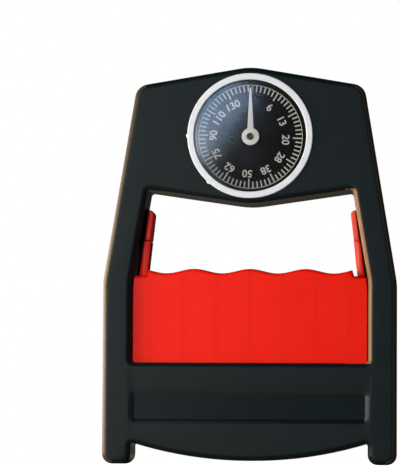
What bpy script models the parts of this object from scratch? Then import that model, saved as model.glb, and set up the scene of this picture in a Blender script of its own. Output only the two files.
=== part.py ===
"""Hand dynamometer: a squeeze-grip force gauge with a round dial.

A hollow two-part case frames a window for the fingers. The red grip stands in the window and slides down
into the hollow lower bar, against two compression springs. Its two arms rise beside the legs into the head
and pull a yoke down, and the rack on the yoke turns the pinion that carries the pointer.

Metres, +Z up, +X to the right as the dial is read, and the dial faces -Y. The feet stand on Z = 0.
"""

import math

import bmesh
import bpy
from mathutils import Vector

# Fits
FIT = 0.0003  # gap between two pieces that seat on each other
SLIDE_GAP = 0.0005  # clearance of the sliding grip and its arms
RUNNING_GAP = 0.00008  # radial clearance of the arbor in its bush
SEAM = 0.0003  # parting gap between the two halves of the case

# Case, front view
CASE_HEIGHT = 0.1500
LEG_HALF_SPAN = 0.0554  # centre line to the outer side of a leg
LEG_WIDTH = 0.0108
HIP_HEIGHT = 0.0689  # above this the outer sides lean in
SIDE_SLOPE = math.radians(9.4)
ROOF_SLOPE = math.radians(9.6)
APEX_RADIUS = 0.0250
SHOULDER_RADIUS = 0.0054
HIP_RADIUS = 0.0200
FOOT_RADIUS = 0.0038
ROOT_RADIUS = 0.0008
BAR_TOP = 0.0382
BAR_BOTTOM = 0.0013  # underside of the lower bar at its middle
BAR_RISE = 0.0068  # from there up to its underside at the legs

# Window between the head, the legs and the lower bar
HEAD_HEIGHT = 0.0516  # roof ridge down to the window
WINDOW_BEND = 0.0690  # above this the inner sides lean in
WINDOW_SLOPE = math.radians(9.65)
LINTEL_SLOPE = math.radians(8.3)
LINTEL_RADIUS = 0.0320
WINDOW_CORNER = 0.0012

# Case, depth and walls
CASE_DEPTH = 0.0250
WALL = 0.0020
EDGE_RADIUS = 0.0022
EDGE_STEPS = 5

# Label recess, left bare
RECESS_MARGIN = 0.0010  # leg's inner side to the end of the recess
RECESS_LOW = 0.0167
RECESS_HEIGHT = 0.0100
RECESS_DEPTH = 0.0010
RECESS_CORNER = 0.0010
RECESS_FLARE = 0.0019  # width of the shallow slope around it
RECESS_STEP = 0.0005  # upright step at the foot of the slope

# Case screws
BOSS_RADIUS = 0.0028
PILOT_RADIUS = 0.0013
SCREW_RADIUS = 0.0010
SCREW_HEAD_RADIUS = 0.0021
SCREW_HEAD_DEPTH = 0.0014
SCREW_BITE = 0.0070  # length of thread in the front boss
WAIST_SCREW_RISE = 0.0076  # joint of the arms up to the screws at the waist
WAIST_SCREW_OUT = 0.0007  # middle of the leg out to those screws
FOOT_SCREW_HEIGHT = 0.0120
SHOULDER_SCREW_INSET = 0.0064

# Dial
DIAL_DROP = 0.0261  # roof ridge down to the dial's centre
BEZEL_RADIUS = 0.0237
BEZEL_OPENING = 0.0213
BEZEL_PROUD = 0.0009
BEZEL_LIP = 0.0006
SLEEVE_RADIUS = 0.0225
SLEEVE_WALL = 0.0005
COLLAR_WALL = 0.0015
LENS_THICKNESS = 0.0012
SPACER_WALL = 0.0005
DIAL_DEPTH = 0.0039  # case front to dial face
DIAL_THICKNESS = 0.0008
DIAL_HOLE = 0.0014

# Pointer and its drive
POINTER_LENGTH = 0.0187
POINTER_TIP = 0.0008
POINTER_ROOT = 0.0022
POINTER_THICKNESS = 0.0005
HUB_RADIUS = 0.0033
HUB_HOLE = 0.0011
ARBOR_RADIUS = 0.0008
MODULE = 0.0005
PINION_TEETH = 10
ADDENDUM = 0.00035
DEDENDUM = 0.00050
BACKLASH = 0.00012
PINION_WIDTH = 0.0023
SCALE_SWEEP = math.radians(330)

# Movement plate and rack
PLATE_THICKNESS = 0.0012
PLATE_END = 0.0035  # screw to the end of the plate
PLATE_HALF_HEIGHT = 0.0065
PLATE_BOSS_GAP = 0.0025  # collar to the boss of the plate's screw
BUSH_RADIUS = 0.0019
BUSH_FLANGE = 0.0030
BUSH_FLANGE_DEPTH = 0.0006
BUSH_NOSE = 0.0019
RACK_BACK = 0.0045  # pitch line to the back of the rack
GUIDE_THICKNESS = 0.0025
GUIDE_HALF_HEIGHT = 0.0045
PEG_RADIUS = 0.0007

# Yoke
YOKE_DROP = 0.0025  # dial's centre down to the yoke's lower edge
YOKE_HEIGHT = 0.0060
YOKE_THICKNESS = 0.0020
RISER_SIDE = 0.0010  # riser overhang past the rack on each side
RIVET_RADIUS = 0.0008
RIVET_HEAD_RADIUS = 0.0014
RIVET_HEAD_DEPTH = 0.0007

# Grip
GRIP_DEPTH = 0.0188
GRIP_WALL = 0.0020
GRIP_EDGE = 0.0014
GRIP_CLEARANCE = 0.0004  # on each side, in the window
FINGER_ROOM = 0.0255  # window's ridge down to the middle of the scallops
SCALLOP_DEPTH = 0.00085
SCALLOP_PITCH = 0.0211
SCALLOP_RISE = 0.0018  # grip's shoulders up to the middle of the scallops
SCALLOP_END = 0.0011  # last scallop to the arm
EAR_HEIGHT = 0.0040
EAR_REACH = 0.0032
RIB_PITCH = 0.0153
RIB_THICKNESS = 0.0012

# Arms
ARM_DEPTH = 0.0120
ARM_THICKNESS = 0.0027  # lower half, at the arm's joint
ARM_FOOT_THICKNESS = 0.0031  # where it leaves the grip
ARM_UPPER_THICKNESS = 0.0023
ARM_SHIFT = 0.0006  # both arms stand this far to the right of a mirrored place
ARM_INSET = 0.0045  # leg's inner side to the inner side of an arm where it leaves the grip
ARM_GAP = 0.0008  # arm to the leg, at the arm's joint
ARM_DROP = 0.0022  # window's ridge down to the top of an arm
ARM_UPPER_LENGTH = 0.0118
ARM_TOP_INSET = 0.0028  # leg's inner side to the inner side of an arm at its top
TONGUE_SET = 0.0010  # leg's inner side to the tongue inside it, at the top of the arm
TONGUE_THICKNESS = 0.0016
BRIDGE_HEIGHT = 0.0026  # from the arm to its tongue
TONGUE_DEPTH = 0.0060
TENON_LENGTH = 0.0056
TENON_DEPTH = 0.0036
TENON_THICKNESS = 0.0018
PAD_LENGTH = 0.0062
PIN_RADIUS = 0.0005
PIN_SKIN = 0.0010  # front of an arm, left closed over its pin
RAIL_WIDTH = 0.0012  # guide rail of the case behind the grip and arms
RAIL_THICKNESS = 0.0018

# Springs
SPRING_COIL_RADIUS = 0.00505
SPRING_WIRE = 0.0024
SPRING_TURNS = 8.6
SPRING_END_TURNS = 0.8
SPRING_LENGTH = 0.0370
SPRING_PLATE_END = 0.0060  # spring to the end of the plate
SPRING_PLATE_DEPTH = 0.0140
SPRING_PLATE_THICKNESS = 0.0016
POST_RADIUS = 0.0031
POST_HEIGHT = 0.0170
SPIGOT_RADIUS = 0.0016
WASHER_THICKNESS = 0.0008
CUP_WALL = 0.0013
STAY_X = 0.0120  # ribs of the case under the spring plate
STAY_THICKNESS = 0.0016

# Depth of the case, with the bezel's stand-off kept inside the centred overall depth
FRONT_Y = -(CASE_DEPTH + BEZEL_PROUD) / 2 + BEZEL_PROUD
BACK_Y = FRONT_Y + CASE_DEPTH
MID_Y = (FRONT_Y + BACK_Y) / 2
INNER_FRONT_Y = FRONT_Y + WALL
INNER_BACK_Y = BACK_Y - WALL

# Stack of the dial and movement, from the front backwards
BEZEL_FRONT_Y = FRONT_Y - BEZEL_PROUD
LENS_FRONT_Y = BEZEL_FRONT_Y + BEZEL_LIP + FIT
LENS_BACK_Y = LENS_FRONT_Y + LENS_THICKNESS
DIAL_FRONT_Y = FRONT_Y + DIAL_DEPTH
DIAL_BACK_Y = DIAL_FRONT_Y + DIAL_THICKNESS
PLATE_FRONT_Y = DIAL_BACK_Y + FIT
PLATE_BACK_Y = PLATE_FRONT_Y + PLATE_THICKNESS
BUSH_BACK_Y = PLATE_BACK_Y + FIT + BUSH_FLANGE_DEPTH + BUSH_NOSE
PINION_FRONT_Y = BUSH_BACK_Y + FIT
PINION_BACK_Y = PINION_FRONT_Y + PINION_WIDTH
YOKE_FRONT_Y = PINION_BACK_Y + FIT
YOKE_BACK_Y = YOKE_FRONT_Y + YOKE_THICKNESS
POINTER_BACK_Y = DIAL_FRONT_Y - 0.0008
POINTER_FRONT_Y = POINTER_BACK_Y - POINTER_THICKNESS

# Sizes that follow from others
PITCH_RADIUS = MODULE * PINION_TEETH / 2
TRAVEL = PITCH_RADIUS * SCALE_SWEEP
WINDOW_HALF = LEG_HALF_SPAN - LEG_WIDTH
WINDOW_APEX = CASE_HEIGHT - HEAD_HEIGHT
BAR_RADIUS = (WINDOW_HALF**2 + BAR_RISE**2) / (2 * BAR_RISE)
DIAL_HEIGHT = CASE_HEIGHT - DIAL_DROP
COLLAR_RADIUS = SLEEVE_RADIUS + FIT + COLLAR_WALL
PLATE_SCREW_X = COLLAR_RADIUS + PLATE_BOSS_GAP + BOSS_RADIUS
YOKE_LOW = DIAL_HEIGHT - YOKE_DROP
YOKE_HIGH = YOKE_LOW + YOKE_HEIGHT
GRIP_HALF = WINDOW_HALF - GRIP_CLEARANCE
SCALLOP_LEVEL = WINDOW_APEX - FINGER_ROOM
GRIP_SHOULDER = SCALLOP_LEVEL - SCALLOP_RISE
EAR_TOP = BAR_TOP - WALL - FIT
GRIP_BOTTOM = EAR_TOP - EAR_HEIGHT
ARM_TOP = WINDOW_APEX - ARM_DROP
ARM_JOINT = ARM_TOP - ARM_UPPER_LENGTH
SPRING_X = 1.5 * RIB_PITCH
SPRING_PLATE_HALF = SPRING_X + SPRING_COIL_RADIUS + SPRING_PLATE_END - SPRING_WIRE / 2

AXIS_X = Vector((1, 0, 0))
AXIS_Y = Vector((0, 1, 0))
AXIS_Z = Vector((0, 0, 1))
SMALLEST_RADIUS = 0.00002


# Outlines are lists of corners (x, z, radius, steps), clockwise as seen from the front.


def mirrored(right_half):
    """A whole outline from its right half, listed from the top of the centre line to the bottom."""
    left_half = [(-x, z, radius, steps) for x, z, radius, steps in right_half if x > 0]
    return right_half + left_half[::-1]


def flipped(outline):
    """The same outline on the other side of the centre line."""
    return [(-x, z, radius, steps) for x, z, radius, steps in outline[::-1]]


def moved(outline, along):
    """The same outline further along X."""
    return [(x + along, z, radius, steps) for x, z, radius, steps in outline]


def sharp(points):
    """Corners with no radius."""
    return [(x, z, 0, 0) for x, z in points]


def rectangle(left, right, low, high, radius=0, steps=0):
    corners = ((left, high), (right, high), (right, low), (left, low))
    return [(x, z, radius, steps) for x, z in corners]


def disc(x, z, radius, sides=16):
    turns = [2 * math.pi * k / sides for k in range(sides)]
    return sharp([(x + radius * math.sin(a), z + radius * math.cos(a)) for a in turns])


def outline_points(outline, inset):
    """Points of an outline with its corners rounded and every side moved inwards by inset."""
    points = []
    for i, (x, z, radius, steps) in enumerate(outline):
        before = Vector(outline[i - 1][:2])
        here = Vector((x, z))
        after = Vector(outline[(i + 1) % len(outline)][:2])
        along = (here - before).normalized()
        onward = (after - here).normalized()
        inward = Vector((along.y, -along.x))
        inward_next = Vector((onward.y, -onward.x))
        corner = here + (inward + inward_next) * (inset / (1 + inward.dot(inward_next)))
        if steps == 0:
            points.append(corner)
            continue
        turn = math.atan2(along.cross(onward), along.dot(onward))
        side = 1 if turn < 0 else -1
        bend = max(radius - side * inset, SMALLEST_RADIUS)
        start = corner - along * (bend * math.tan(abs(turn) / 2))
        centre = start + inward * (bend * side)
        spoke = start - centre
        for k in range(steps + 1):
            angle = turn * k / steps
            turned = Vector(
                (
                    spoke.x * math.cos(angle) - spoke.y * math.sin(angle),
                    spoke.x * math.sin(angle) + spoke.y * math.cos(angle),
                )
            )
            points.append(centre + turned)
    return points


def rounded_edge(front, back, front_radius=0.0, back_radius=0.0, steps=EDGE_STEPS):
    """Levels (y, inset) of a block whose front and back edges are rounded."""
    levels = []
    for k in range(steps + 1) if front_radius else [steps]:
        angle = math.pi / 2 * k / steps
        levels.append((front + front_radius * (1 - math.cos(angle)), front_radius * (1 - math.sin(angle))))
    for k in range(steps, -1, -1) if back_radius else [steps]:
        angle = math.pi / 2 * k / steps
        levels.append((back - back_radius * (1 - math.cos(angle)), back_radius * (1 - math.sin(angle))))
    return levels


def add_block(bm, outline, levels, holes=()):
    """Adds a closed solid that follows an outline through levels (y, inset), with holes right through it."""
    ends = ([], [])
    for loop, side in [(outline, 1)] + [(hole, -1) for hole in holes]:
        rows = []
        for y, inset in levels:
            points = outline_points(loop, side * inset)
            rows.append([bm.verts.new((x, y, z)) for x, z in points])
        for row, following in zip(rows, rows[1:]):
            for k in range(len(row)):
                bm.faces.new((row[k - 1], row[k], following[k], following[k - 1]))
        for end, row in zip(ends, (rows[0], rows[-1])):
            end.extend(bm.edges.get((row[k - 1], row[k])) for k in range(len(row)))
    for edges in ends:
        bmesh.ops.triangle_fill(bm, use_beauty=True, use_dissolve=False, edges=edges)


def add_turned(bm, profile, centre, axis, segments):
    """Adds a solid turned about an axis: profile holds (radius, distance along the axis)."""
    verts = [bm.verts.new(centre + AXIS_X * radius + axis * along) for radius, along in profile]
    edges = [bm.edges.new(pair) for pair in zip(verts, verts[1:])]
    if min(radius for radius, along in profile) > 0:
        edges.append(bm.edges.new((verts[-1], verts[0])))
    before = set(bm.verts) - set(verts)
    bmesh.ops.spin(
        bm, geom=verts + edges, cent=centre, axis=axis, dvec=(0, 0, 0), angle=2 * math.pi, steps=segments
    )
    made = [v for v in bm.verts if v not in before]
    bmesh.ops.remove_doubles(bm, verts=made, dist=1e-7)


def add_rod(bm, x, z, radius, front, back, segments=16):
    """Adds a plain round rod along Y."""
    profile = [(0, front), (radius, front), (radius, back), (0, back)]
    add_turned(bm, profile, Vector((x, 0, z)), AXIS_Y, segments)


def new_object(name, bm):
    bmesh.ops.recalc_face_normals(bm, faces=bm.faces)
    mesh = bpy.data.meshes.new(name)
    bm.to_mesh(mesh)
    bm.free()
    obj = bpy.data.objects.new(name, mesh)
    bpy.context.scene.collection.objects.link(obj)
    return obj


def piece(name, bm, finish, parent=None):
    """A finished piece of the object, shaded smooth except at its edges."""
    obj = new_object(name, bm)
    obj.data.shade_smooth()
    obj.data.set_sharp_from_angle(angle=math.radians(32))
    obj.data.materials.append(finish)
    obj.parent = parent
    return obj


def tool(name, bm):
    """A hidden shape that only cuts or joins."""
    obj = new_object(name, bm)
    obj.hide_render = True
    obj.display_type = "WIRE"
    return obj


def combine(obj, operation, *tools):
    for shape in tools:
        modifier = obj.modifiers.new(shape.name, "BOOLEAN")
        modifier.operation = operation
        modifier.object = shape


def finish_of(name, colour, roughness, metallic=0.0, alpha=1.0):
    material = bpy.data.materials.new(name)
    material.use_nodes = True
    shader = material.node_tree.nodes["Principled BSDF"]
    shader.inputs["Base Color"].default_value = (*colour, 1)
    shader.inputs["Roughness"].default_value = roughness
    shader.inputs["Metallic"].default_value = metallic
    shader.inputs["Alpha"].default_value = alpha
    return material


def empty(name, location):
    obj = bpy.data.objects.new(name, None)
    obj.location = location
    bpy.context.scene.collection.objects.link(obj)
    return obj


for leftover in list(bpy.data.objects):
    bpy.data.objects.remove(leftover, do_unlink=True)

BLACK_ABS = finish_of("black_abs", (0.015, 0.016, 0.018), 0.55)
RED_ABS = finish_of("red_abs", (0.80, 0.02, 0.01), 0.45)
WHITE_ABS = finish_of("white_abs", (0.80, 0.80, 0.78), 0.40)
CLEAR = finish_of("clear_acrylic", (0.9, 0.93, 0.95), 0.05, alpha=0.35)
DIAL_BLACK = finish_of("dial_black", (0.008, 0.009, 0.010), 0.40)
STEEL = finish_of("zinc_plated_steel", (0.55, 0.56, 0.58), 0.35, 1.0)
SPRING_STEEL = finish_of("spring_steel", (0.30, 0.30, 0.32), 0.35, 1.0)
BRASS = finish_of("brass", (0.72, 0.52, 0.22), 0.30, 1.0)
NYLON = finish_of("nylon", (0.75, 0.73, 0.68), 0.50)


# Case


def meeting(p, u, q, v):
    """Where the line through p along u meets the line through q along v."""
    p, u, q, v = Vector(p), Vector(u), Vector(q), Vector(v)
    return p + u * ((q - p).cross(v) / u.cross(v))


def case_side(z):
    """Half width of the case at a height between hip and shoulder."""
    return LEG_HALF_SPAN - max(z - HIP_HEIGHT, 0) * math.tan(SIDE_SLOPE)


def window_side(z):
    """Half width of the window at a height."""
    return WINDOW_HALF - max(z - WINDOW_BEND, 0) * math.tan(WINDOW_SLOPE)


def arm_inner(z):
    """Inner side of an arm at a height. It runs straight from the grip's shoulder to the arm's joint."""
    joint_x = window_side(ARM_JOINT) - ARM_GAP - ARM_THICKNESS
    return ARM_FOOT_X + (joint_x - ARM_FOOT_X) * (z - GRIP_SHOULDER) / (ARM_JOINT - GRIP_SHOULDER)


def bar_underside(x):
    return BAR_BOTTOM + BAR_RADIUS - math.sqrt(BAR_RADIUS**2 - x**2)


ARM_FOOT_X = window_side(GRIP_SHOULDER) - ARM_INSET
BLADE_TOP_X = window_side(ARM_TOP) - ARM_TOP_INSET
TONGUE_X = window_side(ARM_TOP) + TONGUE_SET
TONGUE_OUTER = TONGUE_X + TONGUE_THICKNESS
ROOF_PEAK = CASE_HEIGHT + APEX_RADIUS * (1 / math.cos(ROOF_SLOPE) - 1)
SHOULDER = meeting(
    (0, ROOF_PEAK),
    (math.cos(ROOF_SLOPE), -math.sin(ROOF_SLOPE)),
    (LEG_HALF_SPAN, HIP_HEIGHT),
    (-math.sin(SIDE_SLOPE), math.cos(SIDE_SLOPE)),
)
LINTEL_DIP = WINDOW_APEX - LINTEL_RADIUS * (1 / math.cos(LINTEL_SLOPE) - 1)
LINTEL_END = meeting(
    (0, LINTEL_DIP),
    (math.cos(LINTEL_SLOPE), math.sin(LINTEL_SLOPE)),
    (WINDOW_HALF, WINDOW_BEND),
    (-math.sin(WINDOW_SLOPE), math.cos(WINDOW_SLOPE)),
)
BAR_CHORDS = 10

case_outline = mirrored(
    [
        (0, ROOF_PEAK, APEX_RADIUS, 4),
        (*SHOULDER, SHOULDER_RADIUS, 6),
        (LEG_HALF_SPAN, HIP_HEIGHT, HIP_RADIUS, 3),
        (LEG_HALF_SPAN, 0, FOOT_RADIUS, 6),
        (WINDOW_HALF, 0, FOOT_RADIUS, 6),
        (WINDOW_HALF, BAR_BOTTOM + BAR_RISE, ROOT_RADIUS, 2),
        *sharp(
            (x, bar_underside(x))
            for x in (WINDOW_HALF * (1 - k / BAR_CHORDS) for k in range(1, BAR_CHORDS + 1))
        ),
    ]
)
window_outline = mirrored(
    [
        (0, LINTEL_DIP, LINTEL_RADIUS, 4),
        (*LINTEL_END, WINDOW_CORNER, 3),
        (WINDOW_HALF, WINDOW_BEND, HIP_RADIUS, 3),
        (WINDOW_HALF, BAR_TOP, WINDOW_CORNER, 3),
    ]
)

case_screws = []
waist = ARM_JOINT + WAIST_SCREW_RISE
for screw_x, screw_z in (
    (SHOULDER.x - SHOULDER_SCREW_INSET, SHOULDER.y - SHOULDER_SCREW_INSET),
    ((case_side(waist) + window_side(waist)) / 2 + WAIST_SCREW_OUT, waist),
    (LEG_HALF_SPAN - LEG_WIDTH / 2, FOOT_SCREW_HEIGHT),
):
    case_screws += [(-screw_x, screw_z), (screw_x, screw_z)]

SPRING_PLATE_LOW = (
    bar_underside(SPRING_PLATE_HALF)
    + WALL / math.cos(math.asin(SPRING_PLATE_HALF / BAR_RADIUS))
    + FIT
)
SPRING_LOW = SPRING_PLATE_LOW + SPRING_PLATE_THICKNESS + FIT
SCREW_SEAT_Y = BACK_Y - WALL
ARM_SLOT_HALF = ARM_DEPTH / 2 + SLIDE_GAP


def case_half(name, levels, inner_y):
    """One half of the case: levels (y, inset) of its outside up to the seam, hollow from there to its inner face."""
    seam_y = levels[-1][0]
    bm = bmesh.new()
    add_block(bm, case_outline, levels + [(seam_y, WALL), (inner_y, WALL)], holes=[window_outline])
    return piece(name, bm, BLACK_ABS)


def add_slots(bm):
    """The slot of the lower bar that the grip sinks into, and the slots of the legs for the two arms."""
    slot_half = GRIP_DEPTH / 2 + SLIDE_GAP
    floor = BAR_TOP - WALL - FIT
    slot_side = WINDOW_HALF + FIT
    grip_slot = rectangle(-slot_side, slot_side, floor, BAR_TOP + WALL)
    add_block(bm, grip_slot, [(MID_Y - slot_half, 0), (MID_Y + slot_half, 0)])
    inner = window_side(ARM_TOP) - ARM_THICKNESS / 2
    low = ARM_JOINT - 1.5 * TENON_LENGTH
    tongue_side = TONGUE_X - SLIDE_GAP
    outer = TONGUE_OUTER + SLIDE_GAP
    arm_slot = sharp(
        [
            (tongue_side, LINTEL_END.y + 2.5 * WALL),
            (outer, LINTEL_END.y + 2.5 * WALL),
            (outer, low),
            (inner, low),
            (inner, ARM_TOP + SLIDE_GAP),
            (tongue_side, ARM_TOP + 2 * SLIDE_GAP),
        ]
    )
    for outline in (arm_slot, flipped(arm_slot)):
        add_block(bm, outline, [(MID_Y - ARM_SLOT_HALF, 0), (MID_Y + ARM_SLOT_HALF, 0)])


def add_stays(bm, front, back):
    """Ribs that carry the middle of the spring plate."""
    for x in (-STAY_X, STAY_X):
        low = bar_underside(x) + WALL / 2
        high = SPRING_PLATE_LOW - FIT
        outline = rectangle(x - STAY_THICKNESS / 2, x + STAY_THICKNESS / 2, low, high)
        add_block(bm, outline, [(front, 0), (back, 0)])


def add_guide_rails(bm):
    """Rails on the legs' inner sides, behind the grip, that close the gaps beside it and guide its arms."""
    front = MID_Y + GRIP_DEPTH / 2 + SLIDE_GAP
    high = ARM_TOP - BRIDGE_HEIGHT
    low = BAR_TOP - WALL / 2
    heights = (high, WINDOW_BEND, low)
    outline = [(window_side(z) + WALL / 2, z) for z in heights]
    outline += [(window_side(z) - RAIL_WIDTH, z) for z in heights[::-1]]
    for rail in (sharp(outline), flipped(sharp(outline))):
        add_block(bm, rail, [(front, 0), (front + RAIL_THICKNESS, 0)])


def front_shell():
    levels = rounded_edge(FRONT_Y, MID_Y - SEAM / 2, front_radius=EDGE_RADIUS)
    shell = case_half("front_shell", levels, INNER_FRONT_Y)

    bm = bmesh.new()
    root = FRONT_Y + WALL / 2
    add_rod(bm, 0, DIAL_HEIGHT, COLLAR_RADIUS, root, DIAL_BACK_Y, 64)
    for x, z in case_screws:
        add_rod(bm, x, z, BOSS_RADIUS, root, MID_Y - SEAM)
    for x in (-PLATE_SCREW_X, PLATE_SCREW_X):
        add_rod(bm, x, DIAL_HEIGHT, BOSS_RADIUS, root, PLATE_FRONT_Y - FIT)
    add_stays(bm, root, MID_Y - SEAM)
    additions = tool("front_shell_bosses", bm)

    bm = bmesh.new()
    outside = FRONT_Y - WALL
    add_rod(bm, 0, DIAL_HEIGHT, SLEEVE_RADIUS + FIT, outside, MID_Y, 64)
    for x, z in case_screws:
        add_rod(bm, x, z, PILOT_RADIUS, MID_Y - SCREW_BITE - FIT, MID_Y + WALL, 10)
    for x in (-PLATE_SCREW_X, PLATE_SCREW_X):
        add_rod(bm, x, DIAL_HEIGHT, PILOT_RADIUS, INNER_FRONT_Y, MID_Y, 10)
    recess_half = WINDOW_HALF - RECESS_MARGIN
    recess_high = RECESS_LOW + RECESS_HEIGHT
    recess = rectangle(-recess_half, recess_half, RECESS_LOW, recess_high, RECESS_CORNER, 3)
    recess_levels = [
        (outside, -RECESS_FLARE),
        (FRONT_Y, -RECESS_FLARE),
        (FRONT_Y + RECESS_DEPTH - RECESS_STEP, 0),
        (FRONT_Y + RECESS_DEPTH, 0),
    ]
    add_block(bm, recess, recess_levels)
    add_slots(bm)
    holes = tool("front_shell_holes", bm)

    combine(shell, "UNION", additions)
    combine(shell, "DIFFERENCE", holes)
    return shell


def rear_shell():
    levels = rounded_edge(MID_Y + SEAM / 2, BACK_Y, back_radius=EDGE_RADIUS)
    shell = case_half("rear_shell", levels[::-1], INNER_BACK_Y)

    bm = bmesh.new()
    root = BACK_Y - WALL / 2
    for x, z in case_screws:
        add_rod(bm, x, z, BOSS_RADIUS, MID_Y + SEAM, root)
    add_stays(bm, MID_Y + SEAM, root)
    add_guide_rails(bm)
    additions = tool("rear_shell_bosses", bm)

    bm = bmesh.new()
    for x, z in case_screws:
        seat = SCREW_HEAD_RADIUS + FIT
        profile = [
            (0, MID_Y - WALL),
            (PILOT_RADIUS, MID_Y - WALL),
            (PILOT_RADIUS, SCREW_SEAT_Y),
            (seat, SCREW_SEAT_Y),
            (seat, BACK_Y + WALL),
            (0, BACK_Y + WALL),
        ]
        add_turned(bm, profile, Vector((x, 0, z)), AXIS_Y, 12)
    add_slots(bm)
    holes = tool("rear_shell_holes", bm)

    combine(shell, "UNION", additions)
    combine(shell, "DIFFERENCE", holes)
    return shell


def screw(name, x, z, seat, tip, head_radius=SCREW_HEAD_RADIUS, parent=None):
    """A pan-head screw along Y whose head sits against seat and whose shank ends at tip."""
    away = 1 if seat > tip else -1
    under = seat + away * FIT
    top = under + away * SCREW_HEAD_DEPTH
    profile = [
        (0, tip),
        (SCREW_RADIUS * 0.6, tip),
        (SCREW_RADIUS, tip + away * SCREW_RADIUS),
        (SCREW_RADIUS, under),
        (head_radius, under),
        (head_radius, under + away * SCREW_HEAD_DEPTH * 0.5),
        (head_radius * 0.7, top),
        (0, top),
    ]
    bm = bmesh.new()
    add_turned(bm, profile, Vector((x, 0, z)), AXIS_Y, 12)
    return piece(name, bm, STEEL, parent)


front_shell()
rear_shell()
for number, (screw_x, screw_z) in enumerate(case_screws, start=1):
    screw(f"case_screw_{number}", screw_x, screw_z, SCREW_SEAT_Y, MID_Y - SCREW_BITE)


# Dial


def ring(name, profile, finish, segments=64, parent=None):
    bm = bmesh.new()
    add_turned(bm, profile, Vector((0, 0, DIAL_HEIGHT)), AXIS_Y, segments)
    return piece(name, bm, finish, parent)


def bezel():
    edge = BEZEL_LIP * 0.4
    sleeve_inner = SLEEVE_RADIUS - SLEEVE_WALL
    lip_back = BEZEL_FRONT_Y + BEZEL_LIP
    flange_back = FRONT_Y - FIT
    sleeve_back = DIAL_FRONT_Y - FIT
    profile = [
        (BEZEL_OPENING, lip_back),
        (BEZEL_OPENING, BEZEL_FRONT_Y + edge),
        (BEZEL_OPENING + edge, BEZEL_FRONT_Y),
        (BEZEL_RADIUS - edge, BEZEL_FRONT_Y),
        (BEZEL_RADIUS, BEZEL_FRONT_Y + edge),
        (BEZEL_RADIUS, flange_back),
        (SLEEVE_RADIUS, flange_back),
        (SLEEVE_RADIUS, sleeve_back),
        (sleeve_inner, sleeve_back),
        (sleeve_inner, lip_back),
    ]
    return ring("bezel_ring", profile, WHITE_ABS)


bezel()
lens_radius = SLEEVE_RADIUS - SLEEVE_WALL - FIT
ring(
    "dial_lens",
    [(0, LENS_FRONT_Y), (lens_radius, LENS_FRONT_Y), (lens_radius, LENS_BACK_Y), (0, LENS_BACK_Y)],
    CLEAR,
)
spacer_front = LENS_BACK_Y + FIT
spacer_back = DIAL_FRONT_Y - FIT
ring(
    "dial_spacer",
    [
        (lens_radius - SPACER_WALL, spacer_front),
        (lens_radius, spacer_front),
        (lens_radius, spacer_back),
        (lens_radius - SPACER_WALL, spacer_back),
    ],
    DIAL_BLACK,
)
ring(
    "dial_plate",
    [
        (DIAL_HOLE, DIAL_FRONT_Y),
        (SLEEVE_RADIUS, DIAL_FRONT_Y),
        (SLEEVE_RADIUS, DIAL_BACK_Y),
        (DIAL_HOLE, DIAL_BACK_Y),
    ],
    DIAL_BLACK,
)


# Movement: the plate behind the dial carries the arbor's bush and the rack's guide


RACK_BACK_X = PITCH_RADIUS + RACK_BACK
GUIDE_X = RACK_BACK_X + FIT
PEG_HEIGHTS = (DIAL_HEIGHT - GUIDE_HALF_HEIGHT * 0.55, DIAL_HEIGHT + GUIDE_HALF_HEIGHT * 0.55)


def movement_plate():
    bm = bmesh.new()
    end = PLATE_SCREW_X + PLATE_END
    outline = rectangle(
        -end,
        end,
        DIAL_HEIGHT - PLATE_HALF_HEIGHT,
        DIAL_HEIGHT + PLATE_HALF_HEIGHT,
        PLATE_HALF_HEIGHT / 2,
        4,
    )
    holes = [disc(0, DIAL_HEIGHT, BUSH_RADIUS + FIT)]
    holes += [disc(x, DIAL_HEIGHT, PILOT_RADIUS, 10) for x in (-PLATE_SCREW_X, PLATE_SCREW_X)]
    holes += [disc(GUIDE_X + GUIDE_THICKNESS / 2, z, PEG_RADIUS + FIT, 10) for z in PEG_HEIGHTS]
    add_block(bm, outline, [(PLATE_FRONT_Y, 0), (PLATE_BACK_Y, 0)], holes)
    return piece("movement_plate", bm, STEEL)


def rack_guide():
    """A block behind the rack that keeps it in mesh, with two pegs in the movement plate."""
    bm = bmesh.new()
    front = PLATE_BACK_Y + FIT
    outline = rectangle(
        GUIDE_X, GUIDE_X + GUIDE_THICKNESS, DIAL_HEIGHT - GUIDE_HALF_HEIGHT, DIAL_HEIGHT + GUIDE_HALF_HEIGHT
    )
    add_block(bm, outline, [(front, 0), (YOKE_FRONT_Y - SLIDE_GAP, 0)])
    guide = piece("rack_guide", bm, NYLON)
    bm = bmesh.new()
    for z in PEG_HEIGHTS:
        add_rod(bm, GUIDE_X + GUIDE_THICKNESS / 2, z, PEG_RADIUS, PLATE_FRONT_Y, front + FIT, 10)
    combine(guide, "UNION", tool("rack_guide_pegs", bm))
    return guide


movement_plate()
rack_guide()
for side, sign in (("left", -1), ("right", 1)):
    screw(
        f"movement_screw_{side}",
        sign * PLATE_SCREW_X,
        DIAL_HEIGHT,
        PLATE_BACK_Y,
        INNER_FRONT_Y + FIT,
    )
bush_hole = ARBOR_RADIUS + RUNNING_GAP
flange_front = PLATE_BACK_Y + FIT
ring(
    "arbor_bush",
    [
        (bush_hole, PLATE_FRONT_Y),
        (BUSH_RADIUS, PLATE_FRONT_Y),
        (BUSH_RADIUS, flange_front),
        (BUSH_FLANGE, flange_front),
        (BUSH_FLANGE, flange_front + BUSH_FLANGE_DEPTH),
        (BUSH_RADIUS, flange_front + BUSH_FLANGE_DEPTH),
        (BUSH_RADIUS, BUSH_BACK_Y),
        (bush_hole, BUSH_BACK_Y),
    ],
    BRASS,
    24,
)


# Pointer, on its arbor with the pinion


pointer_axis = empty("pointer_axis", (0, 0, DIAL_HEIGHT))


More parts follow.
